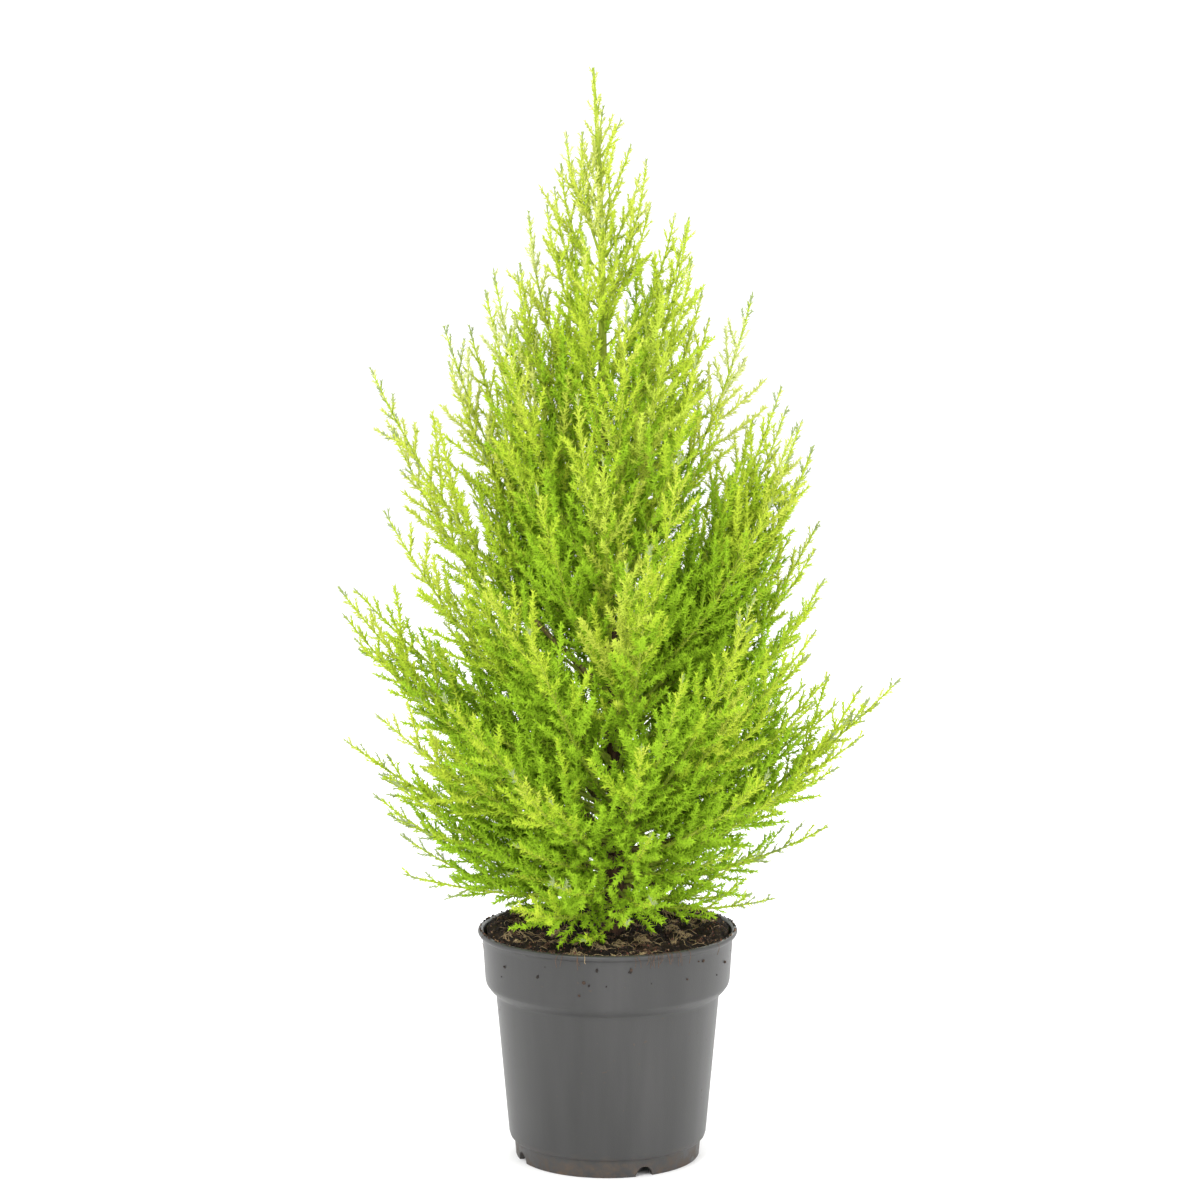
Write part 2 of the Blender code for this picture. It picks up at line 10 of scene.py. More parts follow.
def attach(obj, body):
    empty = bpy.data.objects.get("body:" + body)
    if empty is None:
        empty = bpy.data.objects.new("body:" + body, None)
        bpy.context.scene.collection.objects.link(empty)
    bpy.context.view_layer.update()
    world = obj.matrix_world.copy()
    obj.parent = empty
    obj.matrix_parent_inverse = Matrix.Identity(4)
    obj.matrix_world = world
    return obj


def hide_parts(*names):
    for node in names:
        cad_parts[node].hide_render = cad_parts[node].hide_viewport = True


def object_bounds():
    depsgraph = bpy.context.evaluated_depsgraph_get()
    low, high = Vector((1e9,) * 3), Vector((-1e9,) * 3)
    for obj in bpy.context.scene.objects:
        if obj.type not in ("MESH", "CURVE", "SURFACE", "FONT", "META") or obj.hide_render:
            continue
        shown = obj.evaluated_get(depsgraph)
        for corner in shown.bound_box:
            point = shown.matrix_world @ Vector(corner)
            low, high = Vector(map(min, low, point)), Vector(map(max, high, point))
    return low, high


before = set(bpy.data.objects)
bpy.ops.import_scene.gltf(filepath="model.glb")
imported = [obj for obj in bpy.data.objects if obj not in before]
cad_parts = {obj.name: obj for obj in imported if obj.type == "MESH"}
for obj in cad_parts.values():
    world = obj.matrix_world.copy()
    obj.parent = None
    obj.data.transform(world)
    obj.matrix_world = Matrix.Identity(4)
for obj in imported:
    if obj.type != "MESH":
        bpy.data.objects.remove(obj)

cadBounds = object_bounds()
up = Vector((0.0, 0.0, 1.0))
goldenTurn = math.radians(137.5)
mostFaces = 190000  # triangles in one joined piece

# Camera, floor and light

studio = {
    "lens": 98.54,
    "sensor": 36.0,
    "cameraPlace": (-0.0038, -1.61, 0.479),
    "cameraDown": 7.04,
    "floorSize": 14.0,
    "floorColour": (0.96, 0.96, 0.96),
    "worldColour": (1.0, 1.0, 1.0),
    "worldLight": 1.30,
    "lamps": {  # name: place, aim, size, watts
        "keyLamp": ((-0.9, -1.8, 1.9), (0.0, 0.0, 0.30), 1.3, 34.0),
        "fillLamp": ((1.5, -1.4, 0.9), (0.0, 0.0, 0.25), 1.0, 12.0),
        "backLamp": ((0.5, 1.6, 1.3), (0.0, 0.0, 0.30), 1.2, 14.0),
    },
}


def setStudio():
    scene = bpy.context.scene
    scene.view_settings.view_transform = "Standard"
    lens = bpy.data.cameras.new("camera")
    lens.lens = studio["lens"]
    lens.sensor_width = studio["sensor"]
    camera = linked("camera", lens)
    camera.location = studio["cameraPlace"]
    camera.rotation_euler = (math.radians(90.0 - studio["cameraDown"]), 0.0, 0.0)
    scene.camera = camera

    world = bpy.data.worlds.new("paleRoom")
    world.use_nodes = True
    light = world.node_tree.nodes["Background"]
    light.inputs["Color"].default_value = (*studio["worldColour"], 1.0)
    light.inputs["Strength"].default_value = studio["worldLight"]
    scene.world = world

    for name, (place, aim, size, watts) in studio["lamps"].items():
        data = bpy.data.lights.new(name, "AREA")
        data.shape = "DISK"
        data.size = size
        data.energy = watts
        lamp = linked(name, data)
        lamp.location = place
        lamp.rotation_euler = (Vector(aim) - Vector(place)).to_track_quat("-Z", "Y").to_euler()

    model = bmesh.new()
    bmesh.ops.create_grid(model, x_segments=1, y_segments=1, size=studio["floorSize"] / 2)
    floor = newPiece("floor", model)
    floor.data.materials.append(plainFinish("floorPaint", studio["floorColour"], 0.7))


# Finishes

def newFinish(name, roughness, specular=0.5):
    finish = bpy.data.materials.new(name)
    finish.use_nodes = True
    shader = finish.node_tree.nodes["Principled BSDF"]
    shader.inputs["Roughness"].default_value = roughness
    shader.inputs["Specular IOR Level"].default_value = specular
    return finish, finish.node_tree, shader


def plainFinish(name, colour, roughness, specular=0.3):
    finish, _, shader = newFinish(name, roughness, specular)
    shader.inputs["Base Color"].default_value = (*colour, 1.0)
    return finish


def addNode(tree, kind, output=None, **values):
    # A node with its settings, constants and links; gives the named output, or the node itself.
    node = tree.nodes.new(kind)
    for key, value in values.items():
        if hasattr(node, key):
            setattr(node, key, value)
        elif isinstance(value, bpy.types.NodeSocket):
            tree.links.new(value, node.inputs[key])
        else:
            node.inputs[key].default_value = value
    return node.outputs[output] if output else node


def objectSpace(tree, scale=(1.0, 1.0, 1.0)):
    place = addNode(tree, "ShaderNodeTexCoord", "Object")
    return addNode(tree, "ShaderNodeMapping", "Vector", Vector=place, Scale=scale)


def heightNode(tree):
    return addNode(tree, "ShaderNodeSeparateXYZ", "Z", Vector=objectSpace(tree))


def noiseNode(tree, vector, scale, detail=4.0, roughness=0.55):
    settings = {"Vector": vector, "Scale": scale, "Detail": detail, "Roughness": roughness}
    return addNode(tree, "ShaderNodeTexNoise", "Fac", **settings)


def rampNode(tree, factor, stops, colours):
    node = addNode(tree, "ShaderNodeValToRGB", Fac=factor)
    ramp = node.color_ramp
    while len(ramp.elements) < len(stops):
        ramp.elements.new(0.5)
    for element, stop, colour in zip(ramp.elements, stops, colours):
        element.position = stop
        element.color = (*colour, 1.0)
    return node.outputs["Color"]


def mixColours(tree, factor, first, second):
    return addNode(tree, "ShaderNodeMix", "Result", data_type="RGBA", Factor=factor, A=first, B=second)


def rangeNode(tree, value, lowest, highest, bottom=0.0, top=1.0):
    limits = {"From Min": lowest, "From Max": highest, "To Min": bottom, "To Max": top}
    return addNode(tree, "ShaderNodeMapRange", "Result", Value=value, **limits)


def mathNode(tree, operation, first, second):
    node = addNode(tree, "ShaderNodeMath", operation=operation)
    tree.links.new(first, node.inputs[0])
    if isinstance(second, float):
        node.inputs[1].default_value = second
    else:
        tree.links.new(second, node.inputs[1])
    return node.outputs["Value"]


def colourAndBump(finish, colour, height, strength, distance):
    tree = finish.node_tree
    shader = tree.nodes["Principled BSDF"]
    bump = addNode(tree, "ShaderNodeBump", "Normal", Strength=strength, Distance=distance, Height=height)
    tree.links.new(colour, shader.inputs["Base Color"])
    tree.links.new(bump, shader.inputs["Normal"])
    return finish


# Meshes

def linked(name, data):
    thing = bpy.data.objects.new(name, data)
    bpy.context.scene.collection.objects.link(thing)
    return thing


def newPiece(name, model):
    mesh = bpy.data.meshes.new(name)
    model.to_mesh(mesh)
    model.free()
    return linked(name, mesh)


def listedPiece(name, points, faces):
    mesh = bpy.data.meshes.new(name)
    mesh.from_pydata(points, [], faces)
    return linked(name, mesh)


def around(bearing, away=1.0, height=0.0):
    return Vector((away * math.cos(bearing), away * math.sin(bearing), height))


def place(piece, finish, slot, nodes):
    # Puts a finished piece on the plant's one body, in the stead of the solids that it stands for.
    piece.data.materials.append(finish)
    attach(piece, "root")
    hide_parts(*nodes)
    print(piece.name, len(piece.data.polygons), "faces")


def tubes(name, limbs, sides, bend=None):
    # One mesh of tapering tubes, each along its own list of (point, radius).
    curve = bpy.data.curves.new(name + "Line", "CURVE")
    curve.dimensions = "3D"
    curve.bevel_depth = 1.0
    curve.bevel_resolution = max(0, (sides - 4) // 2)
    curve.use_fill_caps = True
    for knots in limbs:
        spline = curve.splines.new("POLY")
        spline.points.add(len(knots) - 1)
        places = [value for point, _ in knots for value in (*point, 1.0)]
        spline.points.foreach_set("co", places)
        spline.points.foreach_set("radius", [radius for _, radius in knots])
    line = linked(name + "Line", curve)
    bpy.context.view_layer.update()
    graph = bpy.context.evaluated_depsgraph_get()
    model = bmesh.new()
    model.from_mesh(line.evaluated_get(graph).to_mesh())
    bpy.data.objects.remove(line)
    bpy.data.curves.remove(curve)
    bmesh.ops.remove_doubles(model, verts=model.verts, dist=1e-7)
    bmesh.ops.triangulate(model, faces=model.faces)
    if bend:
        for vertex in model.verts:
            vertex.co += vertex.normal * bend(vertex.co)
    bmesh.ops.recalc_face_normals(model, faces=model.faces)
    piece = newPiece(name, model)
    piece.data.shade_smooth()
    return piece


def copiesOf(shape, places, turns):
    # The points and faces of many copies of a small shape; turns holds a 3 x 3 matrix for each place.
    points = np.array([vertex.co for vertex in shape.verts])
    faces = np.array([[vertex.index for vertex in face.verts] for face in shape.faces])
    copies = np.einsum("nij,vj->nvi", turns, points) + places[:, None, :]
    steps = np.arange(len(places))[:, None, None] * len(points)
    return copies.reshape(-1, 3), (faces[None] + steps).reshape(-1, faces.shape[1])


# Pot

pot = {
    "height": 0.1155,
    "rimRadius": 0.065,
    "bandRadius": 0.0612,
    "bandBottom": 0.0900,
    "bodyRadius": 0.0558,
    "bodyTop": 0.0815,
    "heelRadius": 0.0495,
    "heelHeight": 0.0125,
    "footRadius": 0.0468,
    "footHeight": 0.0085,
    "wall": 0.0012,
    "lipSet": 0.0025,  # how far in the wall stands under the rolled lip
    "lipDrop": 0.0060,
    "padRadius": 0.0215,
    "channelDepth": 0.0062,
    "drains": 4,
    "firstDrain": -67.0,  # bearing of the first drain arch
    "drainWidth": 0.009,
    "drainHeight": 0.005,
    "cutterDepth": 0.012,
    "steps": 120,
    "rounding": 0.00045,
    "roundFrom": 14.0,  # degrees between two faces before their edge is rounded
    "sharpFrom": 30.0,
    "flowStretch": (55.0, 55.0, 5.0),  # faint streaks down the moulded wall
    "flowStops": (0.30, 0.52, 0.78),
    "flowColours": ((0.030, 0.0295, 0.029), (0.037, 0.0365, 0.036), (0.048, 0.047, 0.0465)),
    "smearStops": (0.2, 0.8),
    "smearColours": ((0.060, 0.042, 0.030), (0.10, 0.072, 0.050)),
    "smearHeights": (0.013, 0.001),  # peat smeared up the foot, thicker nearer the floor
    "blotches": (140.0, 6.0, 0.7),  # scale, detail and roughness of the noise
    "blotchRange": (0.42, 0.62),
    "specks": (420.0, 2.0),
    "speckRange": (0.70, 0.76),
    "speckShare": 0.6,
    "grain": (1500.0, 2.0),
    "roughness": (0.40, 0.85),  # clean and soiled
    "bump": (0.12, 0.0004),
}


def potOutline():
    top, rim, band, body = pot["height"], pot["rimRadius"], pot["bandRadius"], pot["bodyRadius"]
    bandBottom, bodyTop, heel, foot = pot["bandBottom"], pot["bodyTop"], pot["heelRadius"], pot["footRadius"]
    wall, pad, channel = pot["wall"], pot["padRadius"], pot["channelDepth"]
    lip, underLip = rim - pot["lipSet"], top - pot["lipDrop"]
    return [
        (0.0, wall),
        (pad, wall),
        (pad + 0.0024, channel + wall),
        (foot - 0.0030, channel + wall),
        (heel - wall, pot["heelHeight"]),
        (body - wall, bodyTop + 0.0008),
        (body - wall + 0.0008, bodyTop + 0.0028),
        (band - wall - 0.0014, bandBottom - 0.0022),
        (band - wall, bandBottom),
        (lip - wall, underLip),
        (rim - 0.0032, top - 0.0010),
        (rim - 0.0020, top),
        (rim - 0.0006, top - 0.0002),
        (rim, top - 0.0012),
        (rim - 0.0004, top - 0.0024),
        (rim - 0.0020, top - 0.0034),
        (lip, underLip),
        (band, bandBottom),
        (band - 0.0005, bandBottom - 0.0020),
        (band - 0.0024, bandBottom - 0.0046),
        (body + 0.0006, bodyTop + 0.0018),
        (body, bodyTop),
        (heel, pot["heelHeight"]),
        (heel - 0.0007, pot["heelHeight"] - 0.0024),
        (foot, pot["footHeight"]),
        (foot - 0.0008, 0.0),
        (foot - 0.0034, 0.0),
        (foot - 0.0050, channel),
        (pad + 0.0030, channel),
        (pad + 0.0010, 0.0),
        (0.0, 0.0),
    ]


def turned(outline, steps):
    model = bmesh.new()
    points = [model.verts.new((radius, 0.0, height)) for radius, height in outline]
    edges = [model.edges.new(pair) for pair in zip(points, points[1:])]
    bmesh.ops.spin(
        model, geom=points + edges, cent=(0.0, 0.0, 0.0), axis=(0.0, 0.0, 1.0),
        angle=math.tau, steps=steps, use_merge=True, use_duplicate=False,
    )
    bmesh.ops.remove_doubles(model, verts=model.verts, dist=1e-6)
    bmesh.ops.recalc_face_normals(model, faces=model.faces)
    return model


def makePot():
    model = turned(potOutline(), pot["steps"])
    rings = [
        edge for edge in model.edges
        if abs(edge.verts[0].co.z - edge.verts[1].co.z) < 1e-6
        and abs(edge.verts[0].co.xy.length - edge.verts[1].co.xy.length) < 1e-6
        and edge.calc_face_angle(0.0) > math.radians(pot["roundFrom"])
    ]
    bmesh.ops.bevel(
        model, geom=rings, offset=pot["rounding"], offset_type="OFFSET", segments=2,
        affect="EDGES", profile=0.5, material=-1, clamp_overlap=True,
    )
    piece = newPiece("nurseryPot", model)
    for index in range(pot["drains"]):
        bearing = math.radians(pot["firstDrain"]) + index * math.tau / pot["drains"]
        cutter = bmesh.new()
        bmesh.ops.create_cone(
            cutter, cap_ends=True, segments=32, depth=pot["cutterDepth"],
            radius1=pot["drainWidth"] / 2, radius2=pot["drainWidth"] / 2,
        )
        squash = 2.0 * pot["drainHeight"] / pot["drainWidth"]
        reach = pot["footRadius"] - 0.002
        bmesh.ops.transform(
            cutter, verts=cutter.verts,
            matrix=Matrix.Rotation(bearing, 4, "Z") @ Matrix.Translation((reach, 0.0, 0.0))
            @ Matrix.Diagonal((1.0, 1.0, squash, 1.0)) @ Matrix.Rotation(math.pi / 2, 4, "Y"),
        )
        arch = newPiece("drainCutter", cutter)
        cut = piece.modifiers.new("drain", "BOOLEAN")
        cut.operation = "DIFFERENCE"
        cut.object = arch
        cut.solver = "EXACT"
        bpy.context.view_layer.update()
        cutMesh = bpy.data.meshes.new_from_object(
            piece.evaluated_get(bpy.context.evaluated_depsgraph_get())
        )
        piece.modifiers.clear()
        piece.data = cutMesh
        bpy.data.objects.remove(arch)
    piece.data.shade_smooth()
    piece.data.set_sharp_from_angle(angle=math.radians(pot["sharpFrom"]))
    place(piece, potFinish(), "pot_plastic", ["pot"])


def potFinish():
    finish, tree, shader = newFinish("potPlastic", 0.5, 0.45)
    flow = noiseNode(tree, objectSpace(tree, pot["flowStretch"]), 1.0, 3.0)
    colour = rampNode(tree, flow, pot["flowStops"], pot["flowColours"])
    blotches = noiseNode(tree, objectSpace(tree), *pot["blotches"])
    low = rangeNode(tree, heightNode(tree), *pot["smearHeights"])
    smear = mathNode(tree, "MULTIPLY", low, rangeNode(tree, blotches, *pot["blotchRange"]))
    specks = rangeNode(tree, noiseNode(tree, objectSpace(tree), *pot["specks"]), *pot["speckRange"])
    dirt = mathNode(tree, "MAXIMUM", smear, mathNode(tree, "MULTIPLY", specks, pot["speckShare"]))
    soiled = rampNode(tree, blotches, pot["smearStops"], pot["smearColours"])
    colour = mixColours(tree, dirt, colour, soiled)
    tree.links.new(rangeNode(tree, dirt, 0.0, 1.0, *pot["roughness"]), shader.inputs["Roughness"])
    grain = noiseNode(tree, objectSpace(tree), *pot["grain"])
    return colourAndBump(finish, colour, mathNode(tree, "ADD", grain, dirt), *pot["bump"])


# Peat

peat = {
    "level": 0.1131,
    "radius": 0.0604,
    "depth": 0.016,
    "rows": 150,
    "swell": (70.0, 0.0024),  # fineness and height of the low mounds, the lumps and the grains
    "lumps": (230.0, 0.0022),
    "grains": (900.0, 0.0007),
    "edge": 0.010,  # width of the flatter edge, and how much lower it lies
    "edgeDrop": 0.0010,
    "clods": (260.0, 6.0, 0.65),  # scale, detail and roughness of the noise
    "stops": (0.36, 0.54, 0.64, 0.80),
    "colours": ((0.006, 0.004, 0.003), (0.016, 0.010, 0.006), (0.034, 0.019, 0.011), (0.085, 0.050, 0.028)),
    "straws": (520.0, 3.0, 0.6),
    "strawStretch": (1.0, 3.2, 1.0),
    "strawRange": (0.66, 0.76),
    "strawStops": (0.3, 0.7),
    "strawColours": ((0.16, 0.095, 0.045), (0.36, 0.26, 0.14)),
    "bump": (0.7, 0.0010),
    "heap": 0.0048,  # how far the peat stands up at the sides and the back
    "heapRadius": 0.055,
    "heapWidth": 0.0085,
    "heapFront": 1.3,  # how soon the heap runs out towards the front
}


def peatHeight(x, y):
    spot = Vector((x, y, 0.0))
    away = math.hypot(x, y)
    (broad, swell), (coarse, lump), (fine, grain) = peat["swell"], peat["lumps"], peat["grains"]
    mound = swell * noise.noise(spot * broad)
    lumps = lump * (noise.noise(spot * coarse + up * 7.0) + 0.1)
    grains = grain * noise.noise(spot * fine + up * 3.0)
    edge = min(1.0, max(0.0, (peat["radius"] - away) / peat["edge"]))
    behind = max(0.0, 1.0 - peat["heapFront"] * max(0.0, -y) / peat["radius"])
    heap = peat["heap"] * behind * math.exp(-(((away - peat["heapRadius"]) / peat["heapWidth"]) ** 2))
    rough = (mound + lumps) * (0.5 + 0.5 * edge)
    return peat["level"] + heap + rough + grains - peat["edgeDrop"] * (1.0 - edge)


def makePeat():
    model = bmesh.new()
    bmesh.ops.create_grid(model, x_segments=peat["rows"], y_segments=peat["rows"], size=1.0)
    rim = [edge for edge in model.edges if edge.is_boundary]
    skirt = bmesh.ops.extrude_edge_only(model, edges=rim)["geom"]
    low = [item for item in skirt if isinstance(item, bmesh.types.BMVert)]
    lowEdges = [item for item in skirt if isinstance(item, bmesh.types.BMEdge)]
    sunk = set(low)
    for vertex in model.verts:
        x, y, _ = vertex.co  # the square grid is drawn in to a disc
        x, y = x * math.sqrt(1.0 - y * y / 2.0), y * math.sqrt(1.0 - x * x / 2.0)
        radius = peat["radius"] * (0.965 if vertex in sunk else 1.0)
        vertex.co.x, vertex.co.y = x * radius, y * radius
        height = peat["level"] - peat["depth"]
        vertex.co.z = height if vertex in sunk else peatHeight(vertex.co.x, vertex.co.y)
    bmesh.ops.contextual_create(model, geom=lowEdges)
    bmesh.ops.recalc_face_normals(model, faces=model.faces)
    piece = newPiece("peatTop", model)
    piece.data.shade_smooth()
    place(piece, peatFinish(), "peat", ["soil"])


def peatFinish():
    finish, tree, _ = newFinish("peatSoil", 0.92, 0.2)
    clods = noiseNode(tree, objectSpace(tree), *peat["clods"])
    dark = rampNode(tree, clods, peat["stops"], peat["colours"])
    straw = rampNode(tree, clods, peat["strawStops"], peat["strawColours"])
    straws = noiseNode(tree, objectSpace(tree, peat["strawStretch"]), *peat["straws"])
    colour = mixColours(tree, rangeNode(tree, straws, *peat["strawRange"]), dark, straw)
    return colourAndBump(finish, colour, mathNode(tree, "ADD", clods, straws), *peat["bump"])


# Crumbs on the peat, the rim and the band

crumbs = {
    "count": 3400,
    "size": (0.0004, 0.0017),
    "kinds": {  # share of the crumbs and colour
        "peatCrumbs": (0.46, (0.032, 0.019, 0.012)),
        "paleCrumbs": (0.12, (0.150, 0.090, 0.048)),
        "redCrumbs": (0.10, (0.090, 0.030, 0.018)),
        "darkCrumbs": (0.32, (0.010, 0.007, 0.005)),
    },
    "pale": 2.1,  # how much paler a crumb's pale spots are
    "mottle": (900.0, 3.0),
    "mottleStops": (0.35, 0.7),
    "bump": (0.5, 0.0004),
    "rimCount": 260,  # crumbs on the rim
    "rimSize": (0.0004, 0.0014),
    "rimSet": 0.0014,  # in from the rim's edge
    "rimSpread": (-0.0006, 0.0006),
    "bandCount": 18,  # of each common kind, on the band under the rim
    "bandSize": (0.0007, 0.0024),
    "bandRise": (0.25, 0.95),  # share of the way up the band
}


def randomTurns(count, rng, sizes):
    # A random rotation times a size for each copy, with the three sides a little unlike.
    quarter = rng.normal(size=(count, 4))
    quarter /= np.linalg.norm(quarter, axis=1)[:, None]
    w, x, y, z = quarter.T
    turns = np.array([
        [1 - 2 * (y * y + z * z), 2 * (x * y - z * w), 2 * (x * z + y * w)],
        [2 * (x * y + z * w), 1 - 2 * (x * x + z * z), 2 * (y * z - x * w)],
        [2 * (x * z - y * w), 2 * (y * z + x * w), 1 - 2 * (x * x + y * y)],
    ]).transpose(2, 0, 1)
    return turns * (sizes[:, None] * rng.uniform(0.6, 1.3, (count, 3)))[:, None, :]


def makeCrumbs():
    rng = np.random.default_rng(7)
    for name, (share, colour) in crumbs["kinds"].items():
        shape = bmesh.new()
        bmesh.ops.create_icosphere(shape, subdivisions=1, radius=0.5)
        for vertex in shape.verts:
            vertex.co *= 0.8 + 0.5 * noise.noise(vertex.co * 3.0 + up * share * 40.0)
        count = int(crumbs["count"] * share)
        onRim = int(crumbs["rimCount"] * share)
        away = peat["radius"] * np.sqrt(rng.uniform(0.01, 0.98, count))
        turn = rng.uniform(0.0, math.tau, count)
        sizes = rng.uniform(*crumbs["size"], count) * rng.uniform(0.6, 1.2, count)
        spots = [
            (x, y, peatHeight(x, y) + 0.25 * size)
            for x, y, size in zip(away * np.cos(turn), away * np.sin(turn), sizes)
        ]
        rimSizes = rng.uniform(*crumbs["rimSize"], onRim)
        for size, bearing in zip(rimSizes, rng.uniform(0.0, math.tau, onRim)):
            reach = pot["rimRadius"] - crumbs["rimSet"] + rng.uniform(*crumbs["rimSpread"])
            spots.append(around(bearing, reach, pot["height"] + 0.2 * size))
        onBand = crumbs["bandCount"] if share > 0.3 else 0
        bandSizes = rng.uniform(*crumbs["bandSize"], onBand)
        low = (pot["bandRadius"], pot["bandBottom"])
        high = (pot["rimRadius"] - pot["lipSet"], pot["height"] - pot["lipDrop"])
        bearings, rises = rng.uniform(0.0, math.tau, onBand), rng.uniform(*crumbs["bandRise"], onBand)
        for bearing, rise in zip(bearings, rises):
            spots.append(around(bearing, *(a + (b - a) * rise for a, b in zip(low, high))))
        sizes = np.concatenate([sizes, rimSizes, bandSizes])
        turns = randomTurns(len(sizes), rng, sizes)
        piece = listedPiece(name, *copiesOf(shape, np.array(spots), turns))
        shape.free()
        place(piece, crumbFinish(name, colour), "peat", ["soil"])


def crumbFinish(name, colour):
    finish, tree, _ = newFinish(name + "Soil", 0.9)
    pale = tuple(min(1.0, crumbs["pale"] * part) for part in colour)
    mottle = noiseNode(tree, objectSpace(tree), *crumbs["mottle"])
    mottled = rampNode(tree, mottle, crumbs["mottleStops"], (colour, pale))
    return colourAndBump(finish, mottled, mottle, *crumbs["bump"])


# Straw-coloured and dark roots and moss strands over the peat, and a few over the rim

fibres = {
    "count": 190,
    "length": (0.003, 0.011),
    "lift": 0.0016,
    "turn": 0.7,
    "radius": 0.00013,
    "tangles": 110,  # matted clumps of strands
    "tangleSize": (0.0014, 0.0036),
    "tangleStrands": 10,
    "tangleAside": 1.3,
    "tangleRise": (0.05, 0.65),
    "tangleAlong": (0.7, 1.1),
    "tangleAcross": (0.7, 1.2),
    "mossTufts": 16,
    "mossBearings": (30.0, 85.0),
    "mossAway": (0.040, 0.057),
    "mossStrands": 14,
    "mossLength": (0.002, 0.0055),
    "mossBow": 0.0007,
    "mossRadii": (0.00012, 0.0001, 0.00006),
    "rimCount": 30,  # strands over the rim
    "rimBearings": ((248.0, 262.0), (288.0, 302.0), (0.0, 360.0)),
    "rimDrop": (0.0005, 0.0045),
    "rimSway": (-0.05, 0.05),
    "rimRadius": 0.00012,
    "overLip": (  # a rim strand's way over the lip: out from the rim's radius and up from the pot's top
        (-0.0052, -0.0045), (-0.0034, -0.0004), (-0.0016, 0.0002), (0.0002, -0.0009), (0.0003, -0.0030),
    ),
    "strawDrop": 0.0010,  # rim strands that hang lower than this are dark
    "straw": (0.275, 0.200, 0.108),
    "dark": (0.075, 0.040, 0.022),
}


def overPeat(spot, rise=0.0):
    return Vector((spot.x, spot.y, peatHeight(spot.x, spot.y) + fibres["radius"] + rise))


def looseFibre(rng):
    # One root that wanders over the peat as far as the pot's wall.
    away = (peat["radius"] - 0.002) * math.sqrt(rng.uniform(0.01, 1.0))
    spot = around(rng.uniform(0.0, math.tau), away)
    heading = rng.uniform(0.0, math.tau)
    length = rng.uniform(*fibres["length"])
    lift = rng.uniform(0.0, fibres["lift"])
    knots = []
    for step in range(6):
        if spot.length > peat["radius"] + 0.0006:
            break
        arch = lift * math.sin(math.pi * step / 5.0)
        knots.append((overPeat(spot, arch), fibres["radius"] * (1.2 - 0.13 * step)))
        heading += rng.uniform(-1.0, 1.0) * fibres["turn"]
        spot += around(heading) * length / 5.0
    return knots


def tangledFibres(rng):
    # A matted clump of strands that bow up from the peat.
    away = (peat["radius"] - 0.004) * math.sqrt(rng.uniform(0.05, 1.0))
    turn = rng.uniform(0.0, math.tau)
    size = rng.uniform(*fibres["tangleSize"])
    strands = []
    for _ in range(fibres["tangleStrands"]):
        across = around(rng.uniform(0.0, math.tau)) * size
        aside = Vector((-across.y, across.x, 0.0)) * rng.uniform(-1.0, 1.0) * fibres["tangleAside"]
        rise = size * rng.uniform(*fibres["tangleRise"])
        knots = []
        for step in (-1.0, -0.5, 0.0, 0.5, 1.0):
            spot = around(turn, away) + across * step * rng.uniform(*fibres["tangleAlong"])
            spot += aside * (1.0 - 0.6 * abs(step)) * rng.uniform(*fibres["tangleAcross"])
            spot *= min(1.0, (peat["radius"] - 0.0008) / max(0.001, spot.length))
            point = overPeat(spot, rise * (1.0 - step * step))
            knots.append((point, fibres["radius"] * rng.uniform(0.7, 1.3)))
        strands.append(knots)
    return strands


def mossTuft(index, rng):
    # Most of the moss stands at the back right, every fourth tuft anywhere.
    turn = math.radians(rng.uniform(*fibres["mossBearings"]) if index % 4 else rng.uniform(0.0, 360.0))
    root = around(turn, rng.uniform(*fibres["mossAway"]))
    root.z = peatHeight(root.x, root.y)
    strands = []
    for _ in range(fibres["mossStrands"]):
        lean = Vector((rng.uniform(-1.0, 1.0), rng.uniform(-1.0, 1.0), rng.uniform(0.4, 1.2)))
        tip = root + lean.normalized() * rng.uniform(*fibres["mossLength"])
        tip.xy *= min(1.0, (peat["radius"] - 0.0009) / tip.xy.length)
        bow = Vector((rng.uniform(-1.0, 1.0), rng.uniform(-1.0, 1.0), 0.0)) * fibres["mossBow"]
        strands.append(list(zip((root, (root + tip) / 2 + bow, tip), fibres["mossRadii"])))
    return strands


def rimStrand(rng):
    # A strand from the peat over the pot's lip; says too how far down it hangs.
    turn = math.radians(rng.choice([rng.uniform(*limits) for limits in fibres["rimBearings"]]))
    drop = rng.uniform(*fibres["rimDrop"])
    sway = rng.uniform(*fibres["rimSway"])
    rim, top = pot["rimRadius"], pot["height"]
    path = [(rim + out, top + rise) for out, rise in fibres["overLip"]]
    path.append((rim - 0.0002 - 0.12 * drop, top - 0.0030 - drop))
    strand = []
    for step, (reach, height) in enumerate(path):
        bearing = turn + sway * step / 5.0 + rng.uniform(-0.006, 0.006)
        strand.append((around(bearing, reach, height), fibres["rimRadius"]))
    return strand, drop


def makeFibres():
    rng = random.Random(11)
    straw, dark = [], []
    for index in range(fibres["count"]):
        knots = looseFibre(rng)
        if len(knots) > 2:
            (straw if index % 5 < 3 else dark).append(knots)
    for index in range(fibres["tangles"]):
        (straw if index % 3 else dark).extend(tangledFibres(rng))
    for index in range(fibres["mossTufts"]):
        straw.extend(mossTuft(index, rng))
    for _ in range(fibres["rimCount"]):
        strand, drop = rimStrand(rng)
        (straw if drop < fibres["strawDrop"] else dark).append(strand)
    for name, strands, colour in (
        ("strawFibres", straw, fibres["straw"]),
        ("darkFibres", dark, fibres["dark"]),
    ):
        place(tubes(name, strands, 4), crumbFinish(name, colour), "peat", ["soil"])


# Trunk and limbs, by the growth rule of the plant's solids

